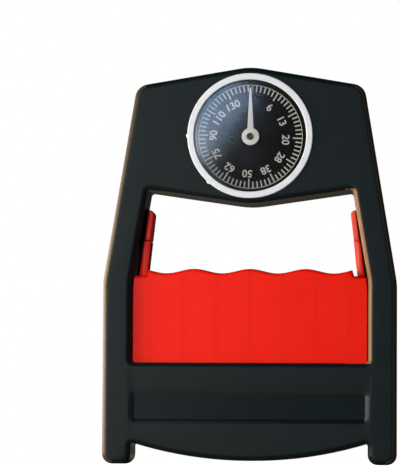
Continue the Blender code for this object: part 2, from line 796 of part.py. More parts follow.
def on_axis(obj, axis_empty):
    """Keeps a piece in place and hangs it on the empty that marks its joint."""
    obj.data.transform(axis_empty.matrix_basis.inverted())
    obj.parent = axis_empty


def pointer():
    bm = bmesh.new()
    lead = math.asin(POINTER_ROOT / 2 / HUB_RADIUS)
    sides = 22
    outline = [
        (-POINTER_TIP / 2, DIAL_HEIGHT + POINTER_LENGTH),
        (POINTER_TIP / 2, DIAL_HEIGHT + POINTER_LENGTH),
    ]
    for k in range(sides + 1):
        angle = lead + (2 * math.pi - 2 * lead) * k / sides
        outline.append((HUB_RADIUS * math.sin(angle), DIAL_HEIGHT + HUB_RADIUS * math.cos(angle)))
    levels = rounded_edge(POINTER_FRONT_Y, POINTER_BACK_Y, front_radius=POINTER_TIP / 5, steps=1)
    add_block(bm, sharp(outline), levels, [disc(0, DIAL_HEIGHT, HUB_HOLE)])
    hand = piece("pointer", bm, WHITE_ABS)
    bm = bmesh.new()
    back = DIAL_FRONT_Y - FIT
    tube = [
        (HUB_HOLE, POINTER_BACK_Y - POINTER_THICKNESS / 2),
        (HUB_RADIUS * 0.6, POINTER_BACK_Y - POINTER_THICKNESS / 2),
        (HUB_RADIUS * 0.6, back),
        (HUB_HOLE, back),
    ]
    add_turned(bm, tube, Vector((0, 0, DIAL_HEIGHT)), AXIS_Y, 16)
    combine(hand, "UNION", tool("pointer_tube", bm))
    return hand


def pinion():
    half_tooth = math.pi * MODULE / 4 - BACKLASH / 2
    tip_half = half_tooth - ADDENDUM * math.tan(math.radians(24))
    root_half = half_tooth + DEDENDUM * math.tan(math.radians(12))
    tip_radius = PITCH_RADIUS + ADDENDUM
    root_radius = PITCH_RADIUS - DEDENDUM
    flank = (
        (root_radius, -root_half),
        (PITCH_RADIUS, -half_tooth),
        (tip_radius, -tip_half),
        (tip_radius, tip_half),
        (PITCH_RADIUS, half_tooth),
        (root_radius, root_half),
    )
    points = []
    for tooth in range(PINION_TEETH):
        # The first tooth points at the rack, and the others follow clockwise.
        middle = math.pi / 2 + 2 * math.pi * tooth / PINION_TEETH
        for radius, offset in flank:
            angle = middle + offset / radius
            points.append((radius * math.sin(angle), DIAL_HEIGHT + radius * math.cos(angle)))
    bm = bmesh.new()
    levels = [(PINION_FRONT_Y, 0), (PINION_BACK_Y, 0)]
    add_block(bm, sharp(points), levels, [disc(0, DIAL_HEIGHT, ARBOR_RADIUS + FIT)])
    return piece("pinion", bm, BRASS)


def arbor():
    bm = bmesh.new()
    add_rod(bm, 0, DIAL_HEIGHT, ARBOR_RADIUS, LENS_BACK_Y + 2 * FIT, PINION_BACK_Y)
    return piece("arbor", bm, STEEL)


for turning in (pointer(), pinion(), arbor()):
    on_axis(turning, pointer_axis)
on_axis(bpy.data.objects["pointer_tube"], pointer_axis)


# Yoke and rack, in the head


YOKE_HALF = TONGUE_X - SLIDE_GAP
PAD_SCREW_X = TONGUE_X - PAD_LENGTH * 0.55
YOKE_MIDDLE = (YOKE_LOW + YOKE_HIGH) / 2
RACK_LOW = DIAL_HEIGHT - 2 * math.pi * MODULE
RACK_HIGH = DIAL_HEIGHT + TRAVEL + 3 * math.pi * MODULE
RACK_MIDDLE_X = (PITCH_RADIUS + DEDENDUM + RACK_BACK_X) / 2
RIVET_HEIGHTS = (YOKE_MIDDLE, RACK_HIGH - 2 * RIVET_RADIUS)


def yoke():
    left = PITCH_RADIUS + DEDENDUM
    right = RACK_BACK_X + RISER_SIDE
    top = RACK_HIGH + RISER_SIDE
    outline = [
        (-YOKE_HALF, YOKE_HIGH, RISER_SIDE, 2),
        (left, YOKE_HIGH, RISER_SIDE, 2),
        (left, top, RISER_SIDE, 2),
        (right, top, RISER_SIDE, 2),
        (right, YOKE_HIGH, RISER_SIDE, 2),
        (YOKE_HALF, YOKE_HIGH, RISER_SIDE, 2),
        (YOKE_HALF, YOKE_LOW, RISER_SIDE, 2),
        (-YOKE_HALF, YOKE_LOW, RISER_SIDE, 2),
    ]
    holes = [disc(x, YOKE_MIDDLE, PILOT_RADIUS, 10) for x in (-PAD_SCREW_X, PAD_SCREW_X)]
    holes += [disc(RACK_MIDDLE_X, z, RIVET_RADIUS + FIT, 10) for z in RIVET_HEIGHTS]
    bm = bmesh.new()
    add_block(bm, outline, [(YOKE_FRONT_Y, 0), (YOKE_BACK_Y, 0)], holes)
    return piece("yoke", bm, STEEL)


def rack():
    pitch = math.pi * MODULE
    half_tooth = pitch / 4 - BACKLASH / 2
    tip_half = half_tooth - ADDENDUM * math.tan(math.radians(20))
    root_half = half_tooth + DEDENDUM * math.tan(math.radians(20))
    tip_x = PITCH_RADIUS - ADDENDUM
    root_x = PITCH_RADIUS + DEDENDUM
    teeth = math.floor((RACK_HIGH - RACK_LOW) / pitch)
    points = [(RACK_BACK_X, RACK_HIGH), (RACK_BACK_X, RACK_LOW), (root_x, RACK_LOW)]
    for tooth in range(teeth):
        # At rest the gap above the second tooth faces the first tooth of the pinion.
        middle = DIAL_HEIGHT + (tooth - 1.5) * pitch
        points += [
            (root_x, middle - root_half),
            (tip_x, middle - tip_half),
            (tip_x, middle + tip_half),
            (root_x, middle + root_half),
        ]
    points.append((root_x, RACK_HIGH))
    holes = [disc(RACK_MIDDLE_X, z, RIVET_RADIUS + FIT, 10) for z in RIVET_HEIGHTS]
    bm = bmesh.new()
    front = PINION_FRONT_Y
    add_block(bm, sharp(points), [(front, 0), (YOKE_FRONT_Y - FIT, 0)], holes)
    return piece("rack", bm, BRASS)


def rivet(name, z):
    front = PINION_FRONT_Y - FIT
    back = YOKE_BACK_Y + FIT
    profile = [
        (0, front - RIVET_HEAD_DEPTH),
        (RIVET_HEAD_RADIUS, front - RIVET_HEAD_DEPTH),
        (RIVET_HEAD_RADIUS, front),
        (RIVET_RADIUS, front),
        (RIVET_RADIUS, back),
        (RIVET_HEAD_RADIUS, back),
        (RIVET_HEAD_RADIUS, back + RIVET_HEAD_DEPTH),
        (0, back + RIVET_HEAD_DEPTH),
    ]
    bm = bmesh.new()
    add_turned(bm, profile, Vector((RACK_MIDDLE_X, 0, z)), AXIS_Y, 12)
    return piece(name, bm, STEEL)


# Grip


def grip_top(x):
    """Height of the finger scallops."""
    return SCALLOP_LEVEL + SCALLOP_DEPTH * math.cos(2 * math.pi * x / SCALLOP_PITCH)


SPRING_SEAT = SPRING_LOW + SPRING_LENGTH + FIT + WASHER_THICKNESS + FIT
ARM_PIN_HEIGHT = ARM_JOINT - TENON_LENGTH / 2
TENON_X = arm_inner(ARM_PIN_HEIGHT) + ARM_THICKNESS / 2
PIN_FRONT_Y = MID_Y - ARM_DEPTH / 2 + PIN_SKIN + FIT
SCALLOP_CHORDS = 48


def grip_body():
    half = ARM_FOOT_X - SCALLOP_END
    scallops = [
        (x, grip_top(x)) for x in (half * (2 * k / SCALLOP_CHORDS - 1) for k in range(SCALLOP_CHORDS + 1))
    ]
    lean_start = min(WINDOW_BEND - HIP_RADIUS * math.tan(WINDOW_SLOPE), GRIP_SHOULDER - GRIP_EDGE)
    sides = sharp(
        [
            (half + SLIDE_GAP, GRIP_SHOULDER),
            (window_side(GRIP_SHOULDER) - SLIDE_GAP, GRIP_SHOULDER),
            (GRIP_HALF, lean_start),
            (GRIP_HALF, EAR_TOP),
            (GRIP_HALF + EAR_REACH, EAR_TOP),
            (GRIP_HALF + EAR_REACH, GRIP_BOTTOM),
        ]
    )
    outline = sharp(scallops) + sides + flipped(sides)
    front = MID_Y - GRIP_DEPTH / 2
    back = MID_Y + GRIP_DEPTH / 2
    bm = bmesh.new()
    add_block(bm, outline, rounded_edge(front, back, GRIP_EDGE, GRIP_EDGE))
    body = piece("grip_body", bm, RED_ABS)

    bm = bmesh.new()
    ceiling = SCALLOP_LEVEL - SCALLOP_DEPTH - GRIP_WALL
    cell_levels = [(front + GRIP_WALL, 0), (back - GRIP_WALL, 0)]
    for cell in range(-3, 3):
        left = max(cell * RIB_PITCH + RIB_THICKNESS / 2, GRIP_WALL - GRIP_HALF)
        right = min((cell + 1) * RIB_PITCH - RIB_THICKNESS / 2, GRIP_HALF - GRIP_WALL)
        roof = min(ceiling, GRIP_SHOULDER - GRIP_WALL)
        add_block(bm, rectangle(left, right, GRIP_BOTTOM - GRIP_WALL, roof), cell_levels)
    cells = tool("grip_cells", bm)

    bm = bmesh.new()
    cup_outer = SPRING_COIL_RADIUS + SPRING_WIRE / 2
    profile = [
        (cup_outer - CUP_WALL, SPRING_SEAT),
        (cup_outer, SPRING_SEAT),
        (cup_outer, GRIP_SHOULDER - GRIP_WALL / 2),
        (cup_outer - CUP_WALL, GRIP_SHOULDER - GRIP_WALL / 2),
    ]
    for x in (-SPRING_X, SPRING_X):
        add_turned(bm, profile, Vector((x, MID_Y, 0)), AXIS_Z, 20)
    arm = sharp(
        [
            (arm_inner(ARM_JOINT), ARM_JOINT),
            (arm_inner(ARM_JOINT) + ARM_THICKNESS, ARM_JOINT),
            (ARM_FOOT_X + ARM_FOOT_THICKNESS, GRIP_SHOULDER),
            (ARM_FOOT_X + ARM_FOOT_THICKNESS, GRIP_SHOULDER - GRIP_WALL / 2),
            (ARM_FOOT_X, GRIP_SHOULDER - GRIP_WALL / 2),
            (ARM_FOOT_X, GRIP_SHOULDER),
        ]
    )
    arm_levels = rounded_edge(MID_Y - ARM_DEPTH / 2, MID_Y + ARM_DEPTH / 2, PIN_RADIUS, PIN_RADIUS, 1)
    for outline in (arm, flipped(arm)):
        add_block(bm, moved(outline, ARM_SHIFT), arm_levels)
    additions = tool("grip_cups_and_arms", bm)

    bm = bmesh.new()
    fork = TENON_DEPTH / 2 + FIT
    reach = arm_inner(ARM_JOINT) - ARM_THICKNESS
    fork_outline = rectangle(
        reach, reach + 3 * ARM_THICKNESS, ARM_JOINT - TENON_LENGTH - FIT, ARM_JOINT + TENON_LENGTH
    )
    for outline in (fork_outline, flipped(fork_outline)):
        add_block(bm, moved(outline, ARM_SHIFT), [(MID_Y - fork, 0), (MID_Y + fork, 0)])
    forks = tool("grip_arm_forks", bm)

    bm = bmesh.new()
    for x in (ARM_SHIFT - TENON_X, ARM_SHIFT + TENON_X):
        add_rod(bm, x, ARM_PIN_HEIGHT, PIN_RADIUS + FIT, PIN_FRONT_Y - FIT, MID_Y + ARM_DEPTH, 10)
    pin_holes = tool("grip_pin_holes", bm)

    combine(body, "DIFFERENCE", cells)
    combine(body, "UNION", additions)
    combine(body, "DIFFERENCE", forks, pin_holes)
    return body


def arm_upper(side, sign):
    """The upper half of an arm: a tenon in the lower half, a rounded top, and a tongue up to the yoke."""
    low = ARM_JOINT + FIT
    inner_low = arm_inner(ARM_JOINT)
    outer = TONGUE_X + TONGUE_THICKNESS / 2
    blade = [
        (BLADE_TOP_X, ARM_TOP, ARM_UPPER_THICKNESS * 0.7, 4),
        (BLADE_TOP_X + ARM_UPPER_THICKNESS, ARM_TOP, ARM_UPPER_THICKNESS * 0.2, 2),
        (inner_low + ARM_UPPER_THICKNESS, low, 0, 0),
        (inner_low, low, 0, 0),
    ]
    bridge_low = ARM_TOP - SLIDE_GAP - BRIDGE_HEIGHT
    bridge = rectangle(BLADE_TOP_X + ARM_UPPER_THICKNESS * 0.7, outer, bridge_low, ARM_TOP - SLIDE_GAP)
    tongue = rectangle(TONGUE_X, TONGUE_OUTER, bridge_low, YOKE_HIGH)
    pad = rectangle(TONGUE_X - PAD_LENGTH, outer, YOKE_LOW + FIT, YOKE_HIGH - FIT)
    tenon = rectangle(
        TENON_X - TENON_THICKNESS / 2, TENON_X + TENON_THICKNESS / 2, ARM_JOINT - TENON_LENGTH, low + FIT
    )
    if sign < 0:
        blade, tongue, pad, tenon, bridge = (flipped(each) for each in (blade, tongue, pad, tenon, bridge))

    bm = bmesh.new()
    blade_levels = rounded_edge(MID_Y - ARM_DEPTH / 2, MID_Y + ARM_DEPTH / 2, PIN_RADIUS, PIN_RADIUS, 1)
    add_block(bm, moved(blade, ARM_SHIFT), blade_levels)
    arm = piece(f"arm_upper_{side}", bm, RED_ABS)

    tongue_back = MID_Y + TONGUE_DEPTH / 2
    bm = bmesh.new()
    add_block(bm, tongue, [(MID_Y - TONGUE_DEPTH / 2, 0), (tongue_back, 0)])
    add_block(bm, moved(tenon, ARM_SHIFT), [(MID_Y - TENON_DEPTH / 2, 0), (MID_Y + TENON_DEPTH / 2, 0)])
    strips = tool(f"arm_strips_{side}", bm)
    bm = bmesh.new()
    add_block(bm, pad, [(YOKE_BACK_Y + FIT, 0), (tongue_back - FIT, 0)])
    hook = tool(f"arm_hook_{side}", bm)
    bm = bmesh.new()
    half = TONGUE_DEPTH / 2 - FIT
    add_block(bm, bridge, [(MID_Y - half, 0), (MID_Y + half, 0)])
    link = tool(f"arm_bridge_{side}", bm)

    bm = bmesh.new()
    pin_x = sign * TENON_X + ARM_SHIFT
    add_rod(bm, pin_x, ARM_PIN_HEIGHT, PIN_RADIUS + FIT, MID_Y - ARM_DEPTH, MID_Y + ARM_DEPTH, 10)
    add_rod(bm, sign * PAD_SCREW_X, YOKE_MIDDLE, PILOT_RADIUS, MID_Y, BACK_Y, 10)
    holes = tool(f"arm_holes_{side}", bm)

    combine(arm, "UNION", strips, link, hook)
    combine(arm, "DIFFERENCE", holes)
    return arm


def arm_pin(side, sign):
    bm = bmesh.new()
    back = MID_Y + ARM_DEPTH / 2 - PIN_RADIUS
    add_rod(bm, sign * TENON_X + ARM_SHIFT, ARM_PIN_HEIGHT, PIN_RADIUS, PIN_FRONT_Y, back, 10)
    return piece(f"arm_pin_{side}", bm, STEEL)


# Springs


def spring_plate():
    bm = bmesh.new()
    outline = rectangle(
        -SPRING_PLATE_HALF,
        SPRING_PLATE_HALF,
        SPRING_PLATE_LOW,
        SPRING_PLATE_LOW + SPRING_PLATE_THICKNESS,
    )
    half = SPRING_PLATE_DEPTH / 2
    add_block(bm, outline, [(MID_Y - half, 0), (MID_Y + half, 0)])
    plate = piece("spring_plate", bm, STEEL)
    bm = bmesh.new()
    profile = [
        (0, SPRING_PLATE_LOW - WALL),
        (SPIGOT_RADIUS + FIT, SPRING_PLATE_LOW - WALL),
        (SPIGOT_RADIUS + FIT, SPRING_LOW + WALL),
        (0, SPRING_LOW + WALL),
    ]
    for x in (-SPRING_X, SPRING_X):
        add_turned(bm, profile, Vector((x, MID_Y, 0)), AXIS_Z, 12)
    combine(plate, "DIFFERENCE", tool("spring_plate_holes", bm))
    return plate


def spring_post(side, sign):
    top = SPRING_LOW + POST_HEIGHT
    profile = [
        (0, SPRING_PLATE_LOW),
        (SPIGOT_RADIUS, SPRING_PLATE_LOW),
        (SPIGOT_RADIUS, SPRING_LOW),
        (POST_RADIUS, SPRING_LOW),
        (POST_RADIUS, top - POST_RADIUS * 0.4),
        (POST_RADIUS * 0.6, top),
        (0, top),
    ]
    bm = bmesh.new()
    add_turned(bm, profile, Vector((sign * SPRING_X, MID_Y, 0)), AXIS_Z, 16)
    return piece(f"spring_post_{side}", bm, STEEL)


def spring_washer(side, sign):
    outer = SPRING_COIL_RADIUS + SPRING_WIRE / 2
    low = SPRING_LOW + SPRING_LENGTH + FIT
    profile = [
        (POST_RADIUS + FIT, low),
        (outer, low),
        (outer, low + WASHER_THICKNESS),
        (POST_RADIUS + FIT, low + WASHER_THICKNESS),
    ]
    bm = bmesh.new()
    add_turned(bm, profile, Vector((sign * SPRING_X, MID_Y, 0)), AXIS_Z, 24)
    return piece(f"spring_washer_{side}", bm, STEEL)


def main_spring(side, sign):
    """A coil spring whose end turns lie closed, as one wire along a helix."""
    closed_rise = SPRING_END_TURNS * (SPRING_WIRE + FIT)
    open_rise = SPRING_LENGTH - SPRING_WIRE - 2 * closed_rise
    steps_per_turn = 14
    count = round(SPRING_TURNS * steps_per_turn)
    curve = bpy.data.curves.new(f"main_spring_{side}", "CURVE")
    curve.dimensions = "3D"
    curve.bevel_depth = SPRING_WIRE / 2
    curve.bevel_resolution = 1
    curve.use_fill_caps = True
    spline = curve.splines.new("POLY")
    spline.points.add(count)
    for k, point in enumerate(spline.points):
        turn = SPRING_TURNS * k / count
        into = min(turn, SPRING_END_TURNS) / SPRING_END_TURNS
        middle = (turn - SPRING_END_TURNS) / (SPRING_TURNS - 2 * SPRING_END_TURNS)
        out = max(turn - (SPRING_TURNS - SPRING_END_TURNS), 0) / SPRING_END_TURNS
        rise = closed_rise * (into + out) + open_rise * min(max(middle, 0), 1)
        angle = 2 * math.pi * turn
        point.co = (
            sign * SPRING_X + SPRING_COIL_RADIUS * math.cos(angle),
            MID_Y + SPRING_COIL_RADIUS * math.sin(angle),
            SPRING_LOW + SPRING_WIRE / 2 + rise,
            1,
        )
    spring = bpy.data.objects.new(f"main_spring_{side}", curve)
    curve.materials.append(SPRING_STEEL)
    bpy.context.scene.collection.objects.link(spring)
    return spring


spring_plate()
grip_axis = empty("grip_axis", (0, MID_Y, GRIP_BOTTOM))
moving = [grip_body(), yoke(), rack()]
moving += [rivet("rack_rivet_lower", RIVET_HEIGHTS[0]), rivet("rack_rivet_upper", RIVET_HEIGHTS[1])]
for side, sign in (("left", -1), ("right", 1)):
    spring_post(side, sign)
    main_spring(side, sign)
    moving += [arm_upper(side, sign), arm_pin(side, sign), spring_washer(side, sign)]
    screw_tip = MID_Y + TONGUE_DEPTH / 2 - FIT
    moving.append(screw(f"yoke_screw_{side}", sign * PAD_SCREW_X, YOKE_MIDDLE, YOKE_FRONT_Y, screw_tip))
for sliding in moving:
    sliding.parent = grip_axis
    sliding.matrix_parent_inverse = grip_axis.matrix_basis.inverted()
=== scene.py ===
"""Hand dynamometer: a red squeeze grip in a black case, with a round white-rimmed dial in the head.

Metres, +Z up from the feet, +X to the right as the dial is read, and the dial faces -Y.
"""

import math

import bmesh
import bpy
from mathutils import Matrix, Vector


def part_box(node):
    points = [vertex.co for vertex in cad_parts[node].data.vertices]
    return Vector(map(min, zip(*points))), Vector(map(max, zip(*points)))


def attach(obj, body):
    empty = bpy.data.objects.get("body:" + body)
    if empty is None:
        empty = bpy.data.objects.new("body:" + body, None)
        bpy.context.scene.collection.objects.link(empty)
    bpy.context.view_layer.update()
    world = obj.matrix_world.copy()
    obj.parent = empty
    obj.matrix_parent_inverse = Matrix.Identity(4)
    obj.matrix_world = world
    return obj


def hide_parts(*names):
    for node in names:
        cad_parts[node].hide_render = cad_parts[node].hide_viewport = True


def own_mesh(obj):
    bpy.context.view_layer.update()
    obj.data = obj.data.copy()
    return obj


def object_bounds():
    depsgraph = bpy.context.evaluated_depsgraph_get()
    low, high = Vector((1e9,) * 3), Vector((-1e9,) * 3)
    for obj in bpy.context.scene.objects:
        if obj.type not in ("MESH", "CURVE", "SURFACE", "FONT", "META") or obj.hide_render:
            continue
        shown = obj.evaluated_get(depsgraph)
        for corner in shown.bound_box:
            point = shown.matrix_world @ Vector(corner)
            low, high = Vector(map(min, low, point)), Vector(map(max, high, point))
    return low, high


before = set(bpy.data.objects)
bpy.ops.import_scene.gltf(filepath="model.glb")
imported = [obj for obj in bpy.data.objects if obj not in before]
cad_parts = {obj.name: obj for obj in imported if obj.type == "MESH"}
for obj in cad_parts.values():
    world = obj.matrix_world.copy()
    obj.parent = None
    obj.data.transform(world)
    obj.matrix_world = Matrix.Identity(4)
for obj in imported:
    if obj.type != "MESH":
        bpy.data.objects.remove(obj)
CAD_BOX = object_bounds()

# Camera. A long lens 1.2 m away, a little to the right of the dial and looking slightly upwards, so that
# the undersides of the head and of the lower bar show as thin strips.
MM = 0.001
CAMERA_DISTANCE = 1.2
CAMERA_AZIMUTH = math.radians(3.0)
CAMERA_ELEVATION = math.radians(-3.5)
CAMERA_ROLL = math.radians(0.35)
SEEN_HEIGHT = 177.7 * MM  # height of the frame, measured at the object
AIM_LEFT = 19.5 * MM  # the camera looks at a point this far from the middle of the case
AIM_UP = 12.57 * MM
LONG_SENSOR = 36.0  # mm, as the lens is
CLIP_END = 20.0

case_low, case_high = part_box("front_shell")
case_middle = Vector((0, 0, (case_low.z + case_high.z) / 2))
towards_camera = Vector(
    (
        math.sin(CAMERA_AZIMUTH) * math.cos(CAMERA_ELEVATION),
        -math.cos(CAMERA_AZIMUTH) * math.cos(CAMERA_ELEVATION),
        math.sin(CAMERA_ELEVATION),
    )
)
camera_data = bpy.data.cameras.new("camera")
camera_data.sensor_width = LONG_SENSOR
camera_data.lens = LONG_SENSOR * CAMERA_DISTANCE / SEEN_HEIGHT
camera_data.clip_end = CLIP_END
camera = bpy.data.objects.new("camera", camera_data)
bpy.context.scene.collection.objects.link(camera)
bpy.context.scene.camera = camera
camera.location = case_middle + towards_camera * CAMERA_DISTANCE
right = Vector((0, 0, 1)).cross(towards_camera).normalized()
up = towards_camera.cross(right)
aim = case_middle - right * AIM_LEFT + up * AIM_UP - camera.location
facing = aim.to_track_quat("-Z", "Y").to_matrix()
camera.rotation_euler = (facing @ Matrix.Rotation(CAMERA_ROLL, 3, "Z")).to_euler()
bpy.context.scene.view_settings.view_transform = "Standard"


# Floor and surroundings. The object stands on a plain table top of matt white laminate, in a white room.
# Both look full white to the camera, while the light that they throw on the object stays weak and even.
ROOM_LIGHT = 0.06
FLOOR_GLOW = 1.0
FLOOR_HALF = 3.0
FLOOR_MOTTLE = 60  # mm


def colour(code):
    """Linear colour of an sRGB hex code."""
    parts = [int(code[k : k + 2], 16) / 255 for k in (1, 3, 5)]
    linear = [p / 12.92 if p <= 0.04045 else ((p + 0.055) / 1.055) ** 2.4 for p in parts]
    return (*linear, 1)


def add_node(tree, kind, inputs=None, **settings):
    """Adds a node with its settings. Inputs hold values or sockets to link, by socket name or number."""
    made = tree.nodes.new(kind)
    for name, value in settings.items():
        setattr(made, name, value)
    for key, value in (inputs or {}).items():
        if isinstance(value, bpy.types.NodeSocket):
            tree.links.new(value, made.inputs[key])
        else:
            made.inputs[key].default_value = value
    return made


def new_material(name):
    """A material with only its Principled shader: (material, tree, shader)."""
    material = bpy.data.materials.new(name)
    material.use_nodes = True
    return material, material.node_tree, material.node_tree.nodes["Principled BSDF"]


def per_mm(size):
    """Scale of a noise whose patches measure this many millimetres."""
    return 1000 / size


room = bpy.data.worlds.new("white_room")
room.use_nodes = True
room_tree = room.node_tree
room_tree.nodes.clear()
seen = add_node(room_tree, "ShaderNodeBackground", {"Color": colour("#ffffff"), "Strength": 1.0})
lighting = add_node(room_tree, "ShaderNodeBackground", {"Color": colour("#eef2f6"), "Strength": ROOM_LIGHT})
path = add_node(room_tree, "ShaderNodeLightPath")
both = add_node(
    room_tree,
    "ShaderNodeMixShader",
    {0: path.outputs["Is Camera Ray"], 1: lighting.outputs[0], 2: seen.outputs[0]},
)
add_node(room_tree, "ShaderNodeOutputWorld", {"Surface": both.outputs[0]})
bpy.context.scene.world = room

laminate, tree, shader = new_material("white_laminate")
place = add_node(tree, "ShaderNodeTexCoord").outputs["Object"]
mottle = add_node(tree, "ShaderNodeTexNoise", {"Vector": place, "Scale": per_mm(FLOOR_MOTTLE), "Detail": 3})
tint = add_node(
    tree,
    "ShaderNodeMix",
    {0: mottle.outputs[0], 6: colour("#b6b6b4"), 7: colour("#bcbcba")},
    data_type="RGBA",
)
tree.links.new(tint.outputs[2], shader.inputs["Base Color"])
shader.inputs["Roughness"].default_value = 0.6
shader.inputs["Emission Color"].default_value = colour("#ffffff")
seen_directly = add_node(tree, "ShaderNodeLightPath")
glow = add_node(
    tree, "ShaderNodeMath", {0: seen_directly.outputs["Is Camera Ray"], 1: FLOOR_GLOW}, operation="MULTIPLY"
)
tree.links.new(glow.outputs[0], shader.inputs["Emission Strength"])

bm = bmesh.new()
corners = [(-1, -1), (1, -1), (1, 1), (-1, 1)]
bm.faces.new([bm.verts.new((x * FLOOR_HALF, y * FLOOR_HALF, CAD_BOX[0].z)) for x, y in corners])
floor_mesh = bpy.data.meshes.new("floor")
bm.to_mesh(floor_mesh)
bm.free()
floor_mesh.materials.append(laminate)
floor = bpy.data.objects.new("floor", floor_mesh)
bpy.context.scene.collection.objects.link(floor)


# Lights. A key panel in front on the left lights the whole face. A warm panel far out on the left draws a
# bright line down every edge that faces it, with a weaker one behind it for the back edges. A cool
# slanted window shows in one quarter of the dial's glass.
WINDOW_ROLL = math.radians(-38.7)


def panel_light(name, place, target, size, radiance, tint_code, roll=0.0):
    """A rectangular light: size in metres, radiance against a white card in full light as 1."""
    data = bpy.data.lights.new(name, "AREA")
    data.shape = "RECTANGLE"
    data.size, data.size_y = size
    data.energy = radiance * math.pi * size[0] * size[1]
    data.color = colour(tint_code)[:3]
    light = bpy.data.objects.new(name, data)
    light.location = place
    facing = (Vector(target) - Vector(place)).to_track_quat("-Z", "Y").to_matrix()
    light.rotation_euler = (facing @ Matrix.Rotation(roll, 3, "Z")).to_euler()
    bpy.context.scene.collection.objects.link(light)
    return light


panel_light("key", (-0.46, -0.95, 0.14), (0, 0, 0.07), (0.30, 0.24), 28, "#fdfbf6")
panel_light("side", (-0.655, -0.07, 0.12), (0, 0, 0.06), (0.80, 0.22), 24, "#ffe2bc")
panel_light("rim", (-0.50, 0.30, 0.12), (0, 0, 0.06), (0.40, 0.22), 6, "#ffe4c4")
panel_light("window", (-0.196, -0.964, 0.300), (0, 0, 0.124), (0.16, 0.34), 5.2, "#b7d9ff", WINDOW_ROLL)


# Case halves. Injection-moulded ABS, coloured black right through. The mould's spark-eroded face leaves
# a fine matt grain that breaks up every reflection, and hands polish it a little in patches. The rounded
# edges are smoother. The outer ones are painted a dusty grey that is partly wear and partly a painted
# sheen. The window's rounded edge on the right is painted tan as a painted highlight. The recess's
# slopes carry painted shade along the foot and a painted highlight at the head.
GRAIN = 0.45  # mm; the real grain of about 0.1 mm would not show
GRAIN_DEPTH = 0.05 * MM
POLISH_PATCH = 16  # mm
NOISE_LOW, NOISE_HIGH = 0.3, 0.7  # nearly all of a noise lies between these
GRAIN_EDGE = 0.12 * MM  # the grain stops this far behind the face
SIDE_ROUGHNESS = 0.28
EDGE_DEPTH = 1.7 * MM  # the painted edges reach this far behind the face
LEG_MIDDLE = 51.5 * MM  # how far out the middle of a leg is, up to its bend
LEG_BEND = 40 * MM
LEG_LEAN = 0.117  # how much further in the middle of a leg is for each step up from there
WINDOW_SIDE = 36 * MM  # the window's rounded edge on the right carries the painted highlight from this far out
WINDOW_MIDDLE = 70.9 * MM
WINDOW_HALF_HEIGHT = 33.0 * MM
RECESS_HALF = 43.6 * MM
RECESS_SLOPE_SHADING = (
    (14.8 * MM, 17.0 * MM, "#020202"),  # painted shade: a dark line along its foot, where the upward slope falls in shade
    (26.5 * MM, 28.6 * MM, "#1d1f20"),  # painted highlight: paler at its head, where the downward slope catches light
)
CREASE = math.radians(34)
SAME_POINT = 1e-6  # corners closer than this are one

black_abs, tree, shader = new_material("spark_textured_black_abs")
case_middle_y = (case_low.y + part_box("rear_shell")[1].y) / 2
case_half_depth = case_middle_y - case_low.y
place = add_node(tree, "ShaderNodeTexCoord").outputs["Object"]
patches = add_node(
    tree, "ShaderNodeTexNoise", {"Vector": place, "Scale": per_mm(POLISH_PATCH), "Detail": 4}
)
grain = add_node(tree, "ShaderNodeTexNoise", {"Vector": place, "Scale": per_mm(GRAIN), "Detail": 2})
base = add_node(
    tree,
    "ShaderNodeMix",
    {0: patches.outputs[0], 6: colour("#091216"), 7: colour("#0d191e")},
    data_type="RGBA",
)
polish = add_node(
    tree,
    "ShaderNodeMapRange",
    {
        "Value": patches.outputs[0],
        "From Min": NOISE_LOW,
        "From Max": NOISE_HIGH,
        "To Min": 0.42,
        "To Max": 0.50,
    },
)
relief = add_node(
    tree, "ShaderNodeBump", {"Height": grain.outputs[0], "Strength": 0.22, "Distance": GRAIN_DEPTH}
)
across = add_node(tree, "ShaderNodeSeparateXYZ", {0: place})
off_middle = add_node(
    tree, "ShaderNodeMath", {0: across.outputs["Y"], 1: case_middle_y}, operation="SUBTRACT"
)
depth = add_node(tree, "ShaderNodeMath", {0: off_middle.outputs[0]}, operation="ABSOLUTE")
on_sides = add_node(
    tree, "ShaderNodeMath", {0: depth.outputs[0], 1: case_half_depth - GRAIN_EDGE}, operation="LESS_THAN"
)
finish = add_node(tree, "ShaderNodeMix", {0: on_sides.outputs[0], 2: polish.outputs[0], 3: SIDE_ROUGHNESS})
outwards = add_node(tree, "ShaderNodeMath", {0: across.outputs["X"]}, operation="ABSOLUTE")
height = across.outputs["Z"]

near_in = add_node(tree, "ShaderNodeMath", {0: outwards.outputs[0], 1: RECESS_HALF}, operation="LESS_THAN")
off_face = add_node(
    tree, "ShaderNodeMath", {0: near_in.outputs[0], 1: on_sides.outputs[0]}, operation="MULTIPLY"
)
# Painted light on the recess's slopes: painted shade along the foot and a painted highlight at the head.
for slope_low, slope_high, tone in RECESS_SLOPE_SHADING:
    above = add_node(tree, "ShaderNodeMath", {0: height, 1: slope_low}, operation="GREATER_THAN")
    below = add_node(tree, "ShaderNodeMath", {0: height, 1: slope_high}, operation="LESS_THAN")
    between = add_node(
        tree, "ShaderNodeMath", {0: above.outputs[0], 1: below.outputs[0]}, operation="MULTIPLY"
    )
    on_slope = add_node(
        tree, "ShaderNodeMath", {0: between.outputs[0], 1: off_face.outputs[0]}, operation="MULTIPLY"
    )
    base = add_node(
        tree,
        "ShaderNodeMix",
        {0: on_slope.outputs[0], 6: base.outputs[2], 7: colour(tone)},
        data_type="RGBA",
    )

